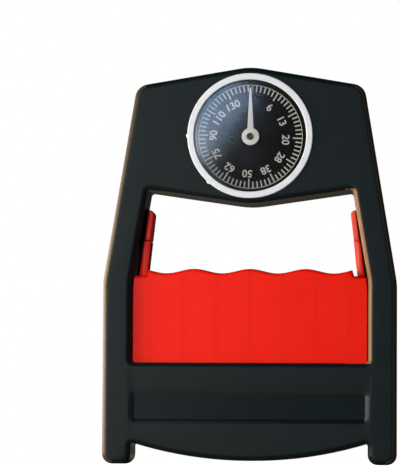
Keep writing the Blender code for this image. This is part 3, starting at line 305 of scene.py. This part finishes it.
leg_slant = add_node(
    tree,
    "ShaderNodeMath",
    {0: height, 1: -LEG_LEAN, 2: LEG_MIDDLE + LEG_LEAN * LEG_BEND},
    operation="MULTIPLY_ADD",
)
leg_middle = add_node(tree, "ShaderNodeMath", {0: leg_slant.outputs[0], 1: LEG_MIDDLE}, operation="MINIMUM")
outside = add_node(
    tree, "ShaderNodeMath", {0: outwards.outputs[0], 1: leg_middle.outputs[0]}, operation="GREATER_THAN"
)
off_window = add_node(tree, "ShaderNodeMath", {0: height, 1: WINDOW_MIDDLE}, operation="SUBTRACT")
up_or_down = add_node(tree, "ShaderNodeMath", {0: off_window.outputs[0]}, operation="ABSOLUTE")
beside_window = add_node(
    tree, "ShaderNodeMath", {0: up_or_down.outputs[0], 1: WINDOW_HALF_HEIGHT}, operation="LESS_THAN"
)
on_right = add_node(
    tree, "ShaderNodeMath", {0: across.outputs["X"], 1: WINDOW_SIDE}, operation="GREATER_THAN"
)
lit_window_edge = add_node(
    tree, "ShaderNodeMath", {0: beside_window.outputs[0], 1: on_right.outputs[0]}, operation="MULTIPLY"
)
painted_edge_zone = add_node(
    tree, "ShaderNodeMath", {0: outside.outputs[0], 1: lit_window_edge.outputs[0]}, operation="MAXIMUM"
)
on_rounding = add_node(
    tree, "ShaderNodeMath", {0: depth.outputs[0], 1: case_half_depth - EDGE_DEPTH}, operation="GREATER_THAN"
)
on_edge = add_node(
    tree, "ShaderNodeMath", {0: on_sides.outputs[0], 1: on_rounding.outputs[0]}, operation="MULTIPLY"
)
# Paler paint on the rounded edges: on the outer edges a dusty grey that is partly wear and partly painted
# sheen, and on the window's right edge a tan painted highlight.
pale_paint = add_node(
    tree, "ShaderNodeMath", {0: on_edge.outputs[0], 1: painted_edge_zone.outputs[0]}, operation="MULTIPLY"
)
dust_and_sheen = add_node(
    tree,
    "ShaderNodeMix",
    {0: outside.outputs[0], 6: colour("#705740"), 7: colour("#332d26")},
    data_type="RGBA",
)
with_painted_edges = add_node(
    tree, "ShaderNodeMix", {0: pale_paint.outputs[0], 6: base.outputs[2], 7: dust_and_sheen.outputs[2]}, data_type="RGBA"
)
tree.links.new(with_painted_edges.outputs[2], shader.inputs["Base Color"])
tree.links.new(finish.outputs[0], shader.inputs["Roughness"])
tree.links.new(relief.outputs[0], shader.inputs["Normal"])
shader.inputs["IOR"].default_value = 1.54
shader.inputs["Specular IOR Level"].default_value = 0.10  # the rough grain scatters most of the shine


def finish_nodes(names, material):
    """Gives CAD nodes their finish, with rounded faces shaded as one surface."""
    for name in names:
        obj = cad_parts[name]
        obj.data.materials.clear()
        obj.data.materials.append(material)
        obj.data.shade_smooth()
        weld = obj.modifiers.new("weld", "WELD")
        weld.merge_threshold = SAME_POINT
        split = obj.modifiers.new("creases", "EDGE_SPLIT")
        split.split_angle = CREASE
        flatten = obj.modifiers.new("flat_faces", "WEIGHTED_NORMAL")
        flatten.keep_sharp = True


finish_nodes(("front_shell", "rear_shell"), black_abs)


# Screws and small steel parts. Mild steel, zinc plated and clear passivated: a soft grey shine with
# faint clouds, blue in places, straw-coloured in others.
CLOUD = 3.0  # mm

zinc, tree, shader = new_material("zinc_plated_mild_steel")
place = add_node(tree, "ShaderNodeTexCoord").outputs["Object"]
clouds = add_node(tree, "ShaderNodeTexNoise", {"Vector": place, "Scale": per_mm(CLOUD), "Detail": 3})
base = add_node(
    tree,
    "ShaderNodeMix",
    {0: clouds.outputs[0], 6: colour("#b4bac2"), 7: colour("#c8c4b8")},
    data_type="RGBA",
)
dulling = add_node(
    tree,
    "ShaderNodeMapRange",
    {
        "Value": clouds.outputs[0],
        "From Min": NOISE_LOW,
        "From Max": NOISE_HIGH,
        "To Min": 0.28,
        "To Max": 0.42,
    },
)
tree.links.new(base.outputs[2], shader.inputs["Base Color"])
tree.links.new(dulling.outputs[0], shader.inputs["Roughness"])
shader.inputs["Metallic"].default_value = 1.0

finish_nodes(("movement_plate", "movement_screw_left", "movement_screw_right"), zinc)
finish_nodes(("spring_plate", "spring_post_left", "spring_post_right"), zinc)
finish_nodes(("spring_washer_left", "spring_washer_right"), zinc)
finish_nodes(("arm_pin_left", "arm_pin_right", "yoke", "yoke_screw_left", "yoke_screw_right"), zinc)
finish_nodes(("rack_rivet_lower", "rack_rivet_upper"), zinc)


# Case screws. Six zinc-plated pan heads with a cross recess, which hold the two halves together. Each is
# sunk in the back of the case and was stopped at its own turn.
SCREW_SIDES = 24
SHANK_RADIUS = 1.0 * MM
SHANK_TIP = 0.6  # share of the shank's radius
HEAD_DEPTH = 1.4 * MM
HEAD_CURVE = ((1.0, 0.0), (1.0, 0.45), (0.93, 0.78), (0.78, 1.0))  # shares of the head's radius and depth
CROSS_REACH = 1.25 * MM
CROSS_WIDTH = 0.55 * MM
CROSS_DEPTH = 0.8 * MM
CROSS_TAPER = 0.5
SCREW_TURN = math.radians(37)
SCREW_COUNT = 6


def new_piece(name, bm, material, body, smooth=False):
    """A finished piece from a bmesh, riding on its body."""
    bmesh.ops.recalc_face_normals(bm, faces=bm.faces)
    mesh = bpy.data.meshes.new(name)
    bm.to_mesh(mesh)
    bm.free()
    mesh.materials.append(material)
    if smooth:
        mesh.shade_smooth()
        mesh.set_sharp_from_angle(angle=CREASE)
    obj = bpy.data.objects.new(name, mesh)
    bpy.context.scene.collection.objects.link(obj)
    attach(obj, body)
    return obj


def add_rings(bm, rings):
    """Rows of faces between rings of the same number of points; the rings of vertices come back."""
    rows = [[bm.verts.new(point) for point in ring] for ring in rings]
    for row, following in zip(rows, rows[1:]):
        for k in range(len(row)):
            bm.faces.new((row[k - 1], row[k], following[k], following[k - 1]))
    return rows


def ring_edges(bm, row):
    """The edges round one ring of vertices."""
    return [bm.edges.get((row[k - 1], row[k])) for k in range(len(row))]


half = CROSS_WIDTH / 2
quarter = [(half, CROSS_REACH), (half, half), (CROSS_REACH, half)]
cross = []
for _ in range(4):
    cross += quarter
    quarter = [(z, -x) for x, z in quarter]
for number in range(1, SCREW_COUNT + 1):
    low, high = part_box(f"case_screw_{number}")
    middle = Vector(((low.x + high.x) / 2, 0, (low.z + high.z) / 2))
    head_radius = (high.x - low.x) / 2
    under = high.y - HEAD_DEPTH
    turned = Matrix.Translation(middle) @ Matrix.Rotation(number * SCREW_TURN, 4, "Y")
    profile = [(SHANK_RADIUS * SHANK_TIP, low.y), (SHANK_RADIUS, low.y + SHANK_RADIUS), (SHANK_RADIUS, under)]
    profile += [(head_radius * out, under + HEAD_DEPTH * back) for out, back in HEAD_CURVE]
    angles = [2 * math.pi * k / SCREW_SIDES for k in range(SCREW_SIDES)]
    bm = bmesh.new()
    body_rows = add_rings(
        bm, [[turned @ Vector((r * math.sin(a), y, r * math.cos(a))) for a in angles] for r, y in profile]
    )
    cross_rows = add_rings(
        bm,
        [
            [turned @ Vector((x * size, y, z * size)) for x, z in cross]
            for size, y in ((1, high.y), (CROSS_TAPER, high.y - CROSS_DEPTH))
        ],
    )
    bm.faces.new(body_rows[0])
    bm.faces.new(cross_rows[-1])
    top_edges = ring_edges(bm, body_rows[-1]) + ring_edges(bm, cross_rows[0])
    bmesh.ops.triangle_fill(bm, edges=top_edges, use_beauty=True)
    head = new_piece(f"pan_head_screw_{number}", bm, zinc, "case", smooth=True)
    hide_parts(f"case_screw_{number}")


# Bezel. A ring of glossy white ABS pressed into the head round the dial. The white is a little cool,
# with a faint mottle from the way it filled the mould.
BEZEL_MOTTLE = 6  # mm

white_abs, tree, shader = new_material("polished_white_abs")
place = add_node(tree, "ShaderNodeTexCoord").outputs["Object"]
flow = add_node(tree, "ShaderNodeTexNoise", {"Vector": place, "Scale": per_mm(BEZEL_MOTTLE), "Detail": 3})
base = add_node(
    tree,
    "ShaderNodeMix",
    {0: flow.outputs[0], 6: colour("#c5d0e0"), 7: colour("#ccd6e4")},
    data_type="RGBA",
)
gloss = add_node(
    tree,
    "ShaderNodeMapRange",
    {
        "Value": flow.outputs[0],
        "From Min": NOISE_LOW,
        "From Max": NOISE_HIGH,
        "To Min": 0.25,
        "To Max": 0.35,
    },
)
tree.links.new(base.outputs[2], shader.inputs["Base Color"])
tree.links.new(gloss.outputs[0], shader.inputs["Roughness"])
shader.inputs["IOR"].default_value = 1.54

finish_nodes(("bezel_ring",), white_abs)


# Gate marks. Two small lumps on the bezel's edge, where the plastic ran into the mould, at nine
# o'clock and between seven and eight. They are part of the same moulding.
GATE_ANGLES = (270, 221.5)
GATE_REACH = 0.45 * MM
GATE_ROOT = 0.3 * MM  # each starts this deep in the ring
GATE_CURVE = ((1.0, 0.0), (0.86, 0.6), (0.45, 1.0))  # shares of its width and of its reach
GATE_HALF_WIDTH = 0.75 * MM
GATE_HEIGHT = 0.9 * MM
GATE_BEHIND = 0.1 * MM  # its front stands this far behind the ring's
GATE_POINTS = 16

bezel_low, bezel_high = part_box("bezel_ring")
bezel_radius = (bezel_high.x - bezel_low.x) / 2
bezel_middle = Vector((0, bezel_low.y + GATE_BEHIND + GATE_HEIGHT / 2, (bezel_low.z + bezel_high.z) / 2))
bm = bmesh.new()
for degrees in GATE_ANGLES:
    turn = Matrix.Translation(bezel_middle) @ Matrix.Rotation(math.radians(degrees), 4, "Y")
    rings = []
    for share, out in [(1.0, -GATE_ROOT)] + [(share, reach * GATE_REACH) for share, reach in GATE_CURVE]:
        ring = []
        for k in range(GATE_POINTS):
            a = 2 * math.pi * k / GATE_POINTS
            x = GATE_HALF_WIDTH * share * math.sin(a)
            y = GATE_HEIGHT / 2 * share * math.cos(a)
            ring.append(turn @ Vector((x, y, bezel_radius + out)))
        rings.append(ring)
    rows = add_rings(bm, rings)
    bm.faces.new(rows[0])
    bm.faces.new(rows[-1])
new_piece("bezel_gate_marks", bm, white_abs, "case", smooth=True)


# Dial plate and spacer. A sheet-metal disc in satin black lacquer with a slight orange peel, and a black
# ring that holds it back from the glass.
LACQUER_PEEL = 1.2  # mm
PEEL_DEPTH = 0.01 * MM

lacquer, tree, shader = new_material("satin_black_lacquer")
place = add_node(tree, "ShaderNodeTexCoord").outputs["Object"]
peel = add_node(tree, "ShaderNodeTexNoise", {"Vector": place, "Scale": per_mm(LACQUER_PEEL), "Detail": 2})
base = add_node(
    tree,
    "ShaderNodeMix",
    {0: peel.outputs[0], 6: colour("#050506"), 7: colour("#08080a")},
    data_type="RGBA",
)
relief = add_node(
    tree, "ShaderNodeBump", {"Height": peel.outputs[0], "Strength": 0.04, "Distance": PEEL_DEPTH}
)
tree.links.new(base.outputs[2], shader.inputs["Base Color"])
tree.links.new(relief.outputs[0], shader.inputs["Normal"])
shader.inputs["Roughness"].default_value = 0.6
shader.inputs["Specular IOR Level"].default_value = 0.05

finish_nodes(("dial_plate", "dial_spacer"), lacquer)


# Dial print. White ink screened on the lacquer: a thin circle, a mark every five degrees with a longer
# one at each number, and the numbers, which stand with their heads outwards. The print sits a little
# turned on the disc, and the numbers a little more so.
INK_THICKNESS = 0.03 * MM
INK_PATCH = 0.5  # mm
CIRCLE_RADIUS = 19.75 * MM
CIRCLE_WIDTH = 0.22 * MM
CIRCLE_SIDES = 180
MARK_STEP = 5
MARK_LENGTH = 2.4 * MM
LONG_MARK_LENGTH = 3.5 * MM
MARK_WIDTH = 0.48 * MM
MARKS_TURN = math.radians(2.0)
NUMBERS = ("6", "13", "20", "28", "38", "50", "62", "75", "90", "110", "130")
NUMBER_STEP = 30
NUMBER_SIZE = 3.9 * MM
NUMBER_BOLD = 0.07 * MM
NUMBER_RADIUS = 13.75 * MM
NUMBERS_TURN = math.radians(3.5)
NUMBERS_LEFT = 0.4 * MM  # the screen was a little off its place
NUMBERS_DOWN = 0.35 * MM

ink, tree, shader = new_material("screened_white_ink")
place = add_node(tree, "ShaderNodeTexCoord").outputs["Object"]
cover = add_node(tree, "ShaderNodeTexNoise", {"Vector": place, "Scale": per_mm(INK_PATCH), "Detail": 2})
base = add_node(
    tree,
    "ShaderNodeMix",
    {0: cover.outputs[0], 6: colour("#ccced0"), 7: colour("#dcdedc")},
    data_type="RGBA",
)
tree.links.new(base.outputs[2], shader.inputs["Base Color"])
shader.inputs["Roughness"].default_value = 0.5

dial_low, dial_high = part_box("dial_plate")
dial_centre = Vector((0, dial_low.y, (dial_low.z + dial_high.z) / 2))


def on_dial(radius, angle, proud=0.0):
    """Point on the dial's face, clockwise from the top."""
    return dial_centre + Vector((radius * math.sin(angle), -proud, radius * math.cos(angle)))


def add_slab(bm, outline):
    """A thin closed slab of ink from its outline of (radius, angle) points."""
    back = [bm.verts.new(on_dial(radius, angle)) for radius, angle in outline]
    front = [bm.verts.new(on_dial(radius, angle, INK_THICKNESS)) for radius, angle in outline]
    bm.faces.new(back)
    bm.faces.new(front[::-1])
    for k in range(len(outline)):
        bm.faces.new((back[k - 1], back[k], front[k], front[k - 1]))


bm = bmesh.new()
rings = []
for radius, proud in (
    (CIRCLE_RADIUS, 0),
    (CIRCLE_RADIUS, INK_THICKNESS),
    (CIRCLE_RADIUS - CIRCLE_WIDTH, INK_THICKNESS),
    (CIRCLE_RADIUS - CIRCLE_WIDTH, 0),
):
    angles = [2 * math.pi * k / CIRCLE_SIDES for k in range(CIRCLE_SIDES)]
    rings.append([bm.verts.new(on_dial(radius, angle, proud)) for angle in angles])
for ring, following in zip(rings, rings[1:] + rings[:1]):
    for k in range(CIRCLE_SIDES):
        bm.faces.new((ring[k - 1], ring[k], following[k], following[k - 1]))
for mark in range(360 // MARK_STEP):
    angle = MARKS_TURN + math.radians(mark * MARK_STEP)
    length = LONG_MARK_LENGTH if mark * MARK_STEP % NUMBER_STEP == 0 else MARK_LENGTH
    outer = CIRCLE_RADIUS - CIRCLE_WIDTH
    inner = outer - length
    half = MARK_WIDTH / 2
    add_slab(
        bm,
        [
            (inner, angle - half / inner),
            (outer, angle - half / outer),
            (outer, angle + half / outer),
            (inner, angle + half / inner),
        ],
    )
new_piece("dial_marks", bm, ink, "case")

bm = bmesh.new()
for count, number in enumerate(NUMBERS, start=1):
    text = bpy.data.curves.new("number", "FONT")
    text.body = number
    text.align_x = "CENTER"
    text.align_y = "CENTER"
    text.size = NUMBER_SIZE
    text.offset = NUMBER_BOLD
    text.extrude = INK_THICKNESS / 2
    holder = bpy.data.objects.new("number", text)
    bpy.context.scene.collection.objects.link(holder)
    bpy.context.view_layer.update()
    letters = bpy.data.meshes.new_from_object(holder.evaluated_get(bpy.context.evaluated_depsgraph_get()))
    lowest = Vector([min(v.co[k] for v in letters.vertices) for k in range(3)])
    highest = Vector([max(v.co[k] for v in letters.vertices) for k in range(3)])
    middle = (lowest + highest) / 2
    angle = NUMBERS_TURN + math.radians(count * NUMBER_STEP)
    spot = on_dial(NUMBER_RADIUS, angle, INK_THICKNESS / 2) - Vector((NUMBERS_LEFT, 0, NUMBERS_DOWN))
    turn = Matrix.Rotation(angle, 4, "Y") @ Matrix.Rotation(math.pi / 2, 4, "X")
    letters.transform(Matrix.Translation(spot) @ turn @ Matrix.Translation(-middle))
    bm.from_mesh(letters)
    bpy.data.objects.remove(holder)
    bpy.data.curves.remove(text)
    bpy.data.meshes.remove(letters)
bmesh.ops.remove_doubles(bm, verts=bm.verts, dist=SAME_POINT)
new_piece("dial_numbers", bm, ink, "case")


# Pointer. A thin moulding in ABS, enamelled white: a round hub with a hole for the arbor and a blade that
# tapers to a blunt tip, with its edges broken all round. The hub is pressed on the arbor.
POINTER_HUB = 3.28 * MM
POINTER_HOLE = 1.36 * MM
HUB_STEPS = 60
HOLE_SIDES = 40
POINTER_TIP = 18.6 * MM
BLADE_ROOT_WIDTH = 2.35 * MM
BLADE_TIP_WIDTH = 0.65 * MM
POINTER_EDGE = 0.12 * MM
ENAMEL_PATCH = 1.5  # mm

enamel, tree, shader = new_material("white_enamel")
place = add_node(tree, "ShaderNodeTexCoord").outputs["Object"]
coat = add_node(tree, "ShaderNodeTexNoise", {"Vector": place, "Scale": per_mm(ENAMEL_PATCH), "Detail": 2})
base = add_node(
    tree,
    "ShaderNodeMix",
    {0: coat.outputs[0], 6: colour("#eef3f8"), 7: colour("#f4f8fc")},
    data_type="RGBA",
)
tree.links.new(base.outputs[2], shader.inputs["Base Color"])
shader.inputs["Roughness"].default_value = 0.4

pointer_low, pointer_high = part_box("pointer")
root_angle = math.asin(BLADE_ROOT_WIDTH / 2 / POINTER_HUB)
hub_angles = [root_angle + (2 * math.pi - 2 * root_angle) * k / HUB_STEPS for k in range(HUB_STEPS + 1)]
outline = [(POINTER_HUB * math.sin(a), POINTER_HUB * math.cos(a)) for a in hub_angles]
outline.append((-BLADE_TIP_WIDTH / 2, POINTER_TIP))
outline.append((0, POINTER_TIP + BLADE_TIP_WIDTH / 4))
outline.append((BLADE_TIP_WIDTH / 2, POINTER_TIP))
hole_angles = [2 * math.pi * k / HOLE_SIDES for k in range(HOLE_SIDES)]
hole = [(POINTER_HOLE * math.sin(a), POINTER_HOLE * math.cos(a)) for a in hole_angles]
shape = bpy.data.curves.new("pointer_shape", "CURVE")
shape.dimensions = "2D"
shape.fill_mode = "BOTH"
shape.extrude = (pointer_high.y - pointer_low.y) / 2 - POINTER_EDGE
shape.bevel_depth = POINTER_EDGE
shape.bevel_resolution = 2
shape.offset = -POINTER_EDGE
for points in (outline, hole):
    spline = shape.splines.new("POLY")
    spline.points.add(len(points) - 1)
    for point, (x, z) in zip(spline.points, points):
        point.co = (x, z, 0, 1)
    spline.use_cyclic_u = True
holder = bpy.data.objects.new("pointer_shape", shape)
bpy.context.scene.collection.objects.link(holder)
bpy.context.view_layer.update()
blade = bpy.data.meshes.new_from_object(holder.evaluated_get(bpy.context.evaluated_depsgraph_get()))
hub_place = Vector((0, (pointer_low.y + pointer_high.y) / 2, dial_centre.z))
blade.transform(Matrix.Translation(hub_place) @ Matrix.Rotation(math.pi / 2, 4, "X"))
bm = bmesh.new()
bm.from_mesh(blade)
bpy.data.objects.remove(holder)
bpy.data.curves.remove(shape)
bpy.data.meshes.remove(blade)
bmesh.ops.remove_doubles(bm, verts=bm.verts, dist=SAME_POINT)
pointer = new_piece("white_pointer", bm, enamel, "pointer", smooth=True)
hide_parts("pointer")


# Dial glass. A thin pane of clear polystyrene, pressed slightly domed, so that it catches the window in
# only one quarter. Wiping has left it a little hazy.
SMEAR = 9  # mm
LENS_RISE = 1.0 * MM
LENS_RINGS = 16
LENS_SIDES = 96

glass, tree, shader = new_material("clear_polystyrene")
place = add_node(tree, "ShaderNodeTexCoord").outputs["Object"]
smear = add_node(tree, "ShaderNodeTexNoise", {"Vector": place, "Scale": per_mm(SMEAR), "Detail": 3})
haze = add_node(
    tree,
    "ShaderNodeMapRange",
    {
        "Value": smear.outputs[0],
        "From Min": NOISE_LOW,
        "From Max": NOISE_HIGH,
        "To Min": 0.13,
        "To Max": 0.17,
    },
)
tree.links.new(haze.outputs[0], shader.inputs["Roughness"])
shader.inputs["Base Color"].default_value = colour("#020203")
shader.inputs["Alpha"].default_value = 0.16
shader.inputs["IOR"].default_value = 2.0  # above the real 1.59, as its low alpha takes most of the shine away
shader.inputs["Specular IOR Level"].default_value = 1.0

lens_low, lens_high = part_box("dial_lens")
lens_radius = (lens_high.x - lens_low.x) / 2
front = []
for k in range(LENS_RINGS + 1):
    radius = lens_radius * (1 - k / LENS_RINGS)
    rise = LENS_RISE * (1 - (radius / lens_radius) ** 2)
    front.append((radius, lens_low.y - rise))
back = [(radius, y + (lens_high.y - lens_low.y)) for radius, y in reversed(front)]
angles = [2 * math.pi * k / LENS_SIDES for k in range(LENS_SIDES)]
bm = bmesh.new()
rows = []
for radius, y in front + back:
    if radius < SAME_POINT:
        rows.append([bm.verts.new((0, y, dial_centre.z))])
        continue
    ring = [(radius * math.sin(a), y, dial_centre.z + radius * math.cos(a)) for a in angles]
    rows.append([bm.verts.new(point) for point in ring])
for row, following in zip(rows, rows[1:] + rows[:1]):
    for k in range(LENS_SIDES):
        corners = [row[k - 1], row[k]] if len(row) > 1 else [row[0]]
        corners += [following[k], following[k - 1]] if len(following) > 1 else [following[0]]
        if len(corners) > 2:
            bm.faces.new(corners)
lens = new_piece("dial_glass", bm, glass, "case", smooth=True)
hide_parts("dial_lens")


# Brass parts: the arbor's bush, the pinion and the rack. They are machined from free-cutting brass and
# left bright, with fine marks of the tool that show as a slightly uneven yellow.
TOOL_MARK = 0.8  # mm; coarser than the real marks, which would not show

brass, tree, shader = new_material("machined_brass")
place = add_node(tree, "ShaderNodeTexCoord").outputs["Object"]
tool_marks = add_node(
    tree, "ShaderNodeTexNoise", {"Vector": place, "Scale": per_mm(TOOL_MARK), "Detail": 4}
)
base = add_node(
    tree,
    "ShaderNodeMix",
    {0: tool_marks.outputs[0], 6: colour("#c9a45a"), 7: colour("#dcbb74")},
    data_type="RGBA",
)
tree.links.new(base.outputs[2], shader.inputs["Base Color"])
shader.inputs["Metallic"].default_value = 1.0
shader.inputs["Roughness"].default_value = 0.28

finish_nodes(("arbor_bush", "pinion", "rack"), brass)


# Rack guide. A small block of natural nylon, off-white and waxy, that keeps the rack against the pinion
# without oil. Its colour varies a little from the way it cooled.
NYLON_PATCH = 2  # mm

nylon, tree, shader = new_material("moulded_natural_nylon")
place = add_node(tree, "ShaderNodeTexCoord").outputs["Object"]
wax = add_node(tree, "ShaderNodeTexNoise", {"Vector": place, "Scale": per_mm(NYLON_PATCH), "Detail": 3})
base = add_node(
    tree, "ShaderNodeMix", {0: wax.outputs[0], 6: colour("#ddd9cc"), 7: colour("#e8e5da")}, data_type="RGBA"
)
tree.links.new(base.outputs[2], shader.inputs["Base Color"])
shader.inputs["Roughness"].default_value = 0.45
shader.inputs["IOR"].default_value = 1.53

finish_nodes(("rack_guide",), nylon)


# Arms. Injection-moulded ABS in signal red, as the grip is, smoother than the case and of one even colour.
# The middle of each arm carries a paler stripe, a painted highlight that is stronger on the right, and the
# tongues that run inside the head are painted near-black, as painted shade in the gap beside the legs.
# The ribs inside the grip show on its face as faint upright sink marks, drawn as stripes of painted shade.
RED_PATCH = 14  # mm
RIB_PITCH = 12.5 * MM
SINK_WIDTH = 1.4 * MM
SINK_SHADE = 0.22
ARMS_RIGHT = 0.6 * MM  # the pair of arms stands this far right of the middle
ARM_LEAN = 0.117  # how much further in an arm is for each step up
ARM_TOP = 96.2 * MM
ARM_BACK = 39.55 * MM + ARM_LEAN * ARM_TOP  # an arm's back, carried on down to the feet; the painted shade lies beyond
GRIP_TOP = 84.4 * MM
SHOULDER = 72 * MM
SHEEN_IN = 1.3 * MM
SHEEN_HALF = 1.1 * MM
SHEEN_LEFT = 0.15
SHEEN_RIGHT = 0.6
SHEEN_CHANGE = 0.5 * MM

red_abs, tree, shader = new_material("satin_red_abs")
place = add_node(tree, "ShaderNodeTexCoord").outputs["Object"]
flow = add_node(tree, "ShaderNodeTexNoise", {"Vector": place, "Scale": per_mm(RED_PATCH), "Detail": 3})
base = add_node(
    tree,
    "ShaderNodeMix",
    {0: flow.outputs[0], 6: colour("#d41704"), 7: colour("#d91a06")},
    data_type="RGBA",
)
gloss = add_node(
    tree,
    "ShaderNodeMapRange",
    {
        "Value": flow.outputs[0],
        "From Min": NOISE_LOW,
        "From Max": NOISE_HIGH,
        "To Min": 0.34,
        "To Max": 0.42,
    },
)
along = add_node(tree, "ShaderNodeSeparateXYZ", {0: place})
# Darker upright stripes over the ribs are painted shade where the sink marks dip.
from_rib = add_node(tree, "ShaderNodeMath", {0: along.outputs["X"], 1: RIB_PITCH / 2}, operation="PINGPONG")
rib = add_node(
    tree,
    "ShaderNodeMapRange",
    {
        "Value": from_rib.outputs[0],
        "From Min": SINK_WIDTH,
        "From Max": 0.0,
        "To Min": 0.0,
        "To Max": SINK_SHADE,
    },
)
dips = add_node(tree, "ShaderNodeMath", {0: rib.outputs[0], 1: flow.outputs[0]}, operation="MULTIPLY")
base = add_node(
    tree, "ShaderNodeMix", {0: dips.outputs[0], 6: base.outputs[2], 7: colour("#8c1006")}, data_type="RGBA"
)
middle_off = add_node(tree, "ShaderNodeMath", {0: along.outputs["X"], 1: ARMS_RIGHT}, operation="SUBTRACT")
outwards = add_node(tree, "ShaderNodeMath", {0: middle_off.outputs[0]}, operation="ABSOLUTE")
leaning = add_node(
    tree,
    "ShaderNodeMath",
    {0: along.outputs["Z"], 1: ARM_LEAN, 2: outwards.outputs[0]},
    operation="MULTIPLY_ADD",
)
# A paler stripe down the middle of each arm is a painted highlight, stronger on the right.
from_sheen = add_node(
    tree, "ShaderNodeMath", {0: leaning.outputs[0], 1: ARM_BACK - SHEEN_IN}, operation="SUBTRACT"
)
off_sheen = add_node(tree, "ShaderNodeMath", {0: from_sheen.outputs[0]}, operation="ABSOLUTE")
sheen = add_node(
    tree,
    "ShaderNodeMapRange",
    {"Value": off_sheen.outputs[0], "From Min": SHEEN_HALF, "From Max": 0.0, "To Min": 0.0, "To Max": 1.0},
)
one_side = add_node(
    tree,
    "ShaderNodeMapRange",
    {
        "Value": along.outputs["X"],
        "From Min": -SHEEN_CHANGE,
        "From Max": SHEEN_CHANGE,
        "To Min": SHEEN_LEFT,
        "To Max": SHEEN_RIGHT,
    },
)
over_grip = add_node(tree, "ShaderNodeMath", {0: along.outputs["Z"], 1: SHOULDER}, operation="GREATER_THAN")
sheen_share = add_node(
    tree, "ShaderNodeMath", {0: sheen.outputs[0], 1: one_side.outputs[0]}, operation="MULTIPLY"
)
pale_paint = add_node(
    tree, "ShaderNodeMath", {0: sheen_share.outputs[0], 1: over_grip.outputs[0]}, operation="MULTIPLY"
)
base = add_node(
    tree,
    "ShaderNodeMix",
    {0: pale_paint.outputs[0], 6: base.outputs[2], 7: colour("#bf7264")},
    data_type="RGBA",
)
# The tongues beyond an arm's back are painted near-black, as painted shade in the gap beside the legs.
past_arm_back = add_node(tree, "ShaderNodeMath", {0: leaning.outputs[0], 1: ARM_BACK}, operation="GREATER_THAN")
above_grip = add_node(
    tree, "ShaderNodeMath", {0: along.outputs["Z"], 1: GRIP_TOP}, operation="GREATER_THAN"
)
gap_shade = add_node(
    tree, "ShaderNodeMath", {0: past_arm_back.outputs[0], 1: above_grip.outputs[0]}, operation="MULTIPLY"
)
base = add_node(
    tree,
    "ShaderNodeMix",
    {0: gap_shade.outputs[0], 6: base.outputs[2], 7: colour("#0b0b0c")},
    data_type="RGBA",
)
tree.links.new(base.outputs[2], shader.inputs["Base Color"])
tree.links.new(gloss.outputs[0], shader.inputs["Roughness"])
shader.inputs["IOR"].default_value = 1.54
shader.inputs["Specular IOR Level"].default_value = 0.08

finish_nodes(("arm_upper_left", "arm_upper_right"), red_abs)


# Grip. The bar that the fingers pull, moulded in one with the lower halves of the arms. Its long edges
# are well rounded, and its upright ends are crisp and run close to the legs.
GRIP_ROUNDING = 1.4 * MM
SIDE_KEPT = 0.15  # the upright ends keep this share of that rounding
SIDE_STARTS = 39 * MM
SIDE_OUT = 0.18 * MM  # each end reaches this much nearer to its leg

bm = bmesh.new()
bm.from_mesh(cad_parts["grip_body"].data)
bm.transform(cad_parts["grip_body"].matrix_world)
bmesh.ops.remove_doubles(bm, verts=bm.verts, dist=SAME_POINT)
grip_low, grip_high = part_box("grip_body")
for vert in bm.verts:
    from_face = min(vert.co.y - grip_low.y, grip_high.y - vert.co.y)
    if abs(vert.co.x) > SIDE_STARTS and vert.co.z < SHOULDER:
        short_of_side = max(0, GRIP_ROUNDING - from_face)
        across_round = GRIP_ROUNDING - math.sqrt(GRIP_ROUNDING**2 - short_of_side**2)
        vert.co.x += math.copysign(SIDE_OUT + (1 - SIDE_KEPT) * across_round, vert.co.x)
grip = new_piece("squeeze_grip", bm, red_abs, "grip", smooth=True)
flatten = grip.modifiers.new("flat_faces", "WEIGHTED_NORMAL")
flatten.keep_sharp = True
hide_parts("grip_body")


# Main springs and arbor. Two coils of oil-tempered wire stand under the grip, which in the real gauge
# shorten as it comes down; here they are fixed pieces on the case. The arbor is hardened rod. Both are
# almost black, with an oily shine over patchy scale.
SCALE_PATCH = 1.5  # mm

spring_wire, tree, shader = new_material("oil_tempered_spring_wire")
place = add_node(tree, "ShaderNodeTexCoord").outputs["Object"]
scale_film = add_node(
    tree, "ShaderNodeTexNoise", {"Vector": place, "Scale": per_mm(SCALE_PATCH), "Detail": 4}
)
base = add_node(
    tree,
    "ShaderNodeMix",
    {0: scale_film.outputs[0], 6: colour("#3c3b3a"), 7: colour("#565350")},
    data_type="RGBA",
)
tree.links.new(base.outputs[2], shader.inputs["Base Color"])
shader.inputs["Metallic"].default_value = 1.0
shader.inputs["Roughness"].default_value = 0.36

finish_nodes(("arbor",), spring_wire)

for side in ("left", "right"):
    node = f"main_spring_{side}"
    low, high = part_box(node)
    bm = bmesh.new()
    bm.from_mesh(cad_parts[node].data)
    bm.transform(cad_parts[node].matrix_world)
    bmesh.ops.remove_doubles(bm, verts=bm.verts, dist=SAME_POINT)
    coil = new_piece(f"grip_spring_{side}", bm, spring_wire, "case", smooth=True)
    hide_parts(node)
    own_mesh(coil)
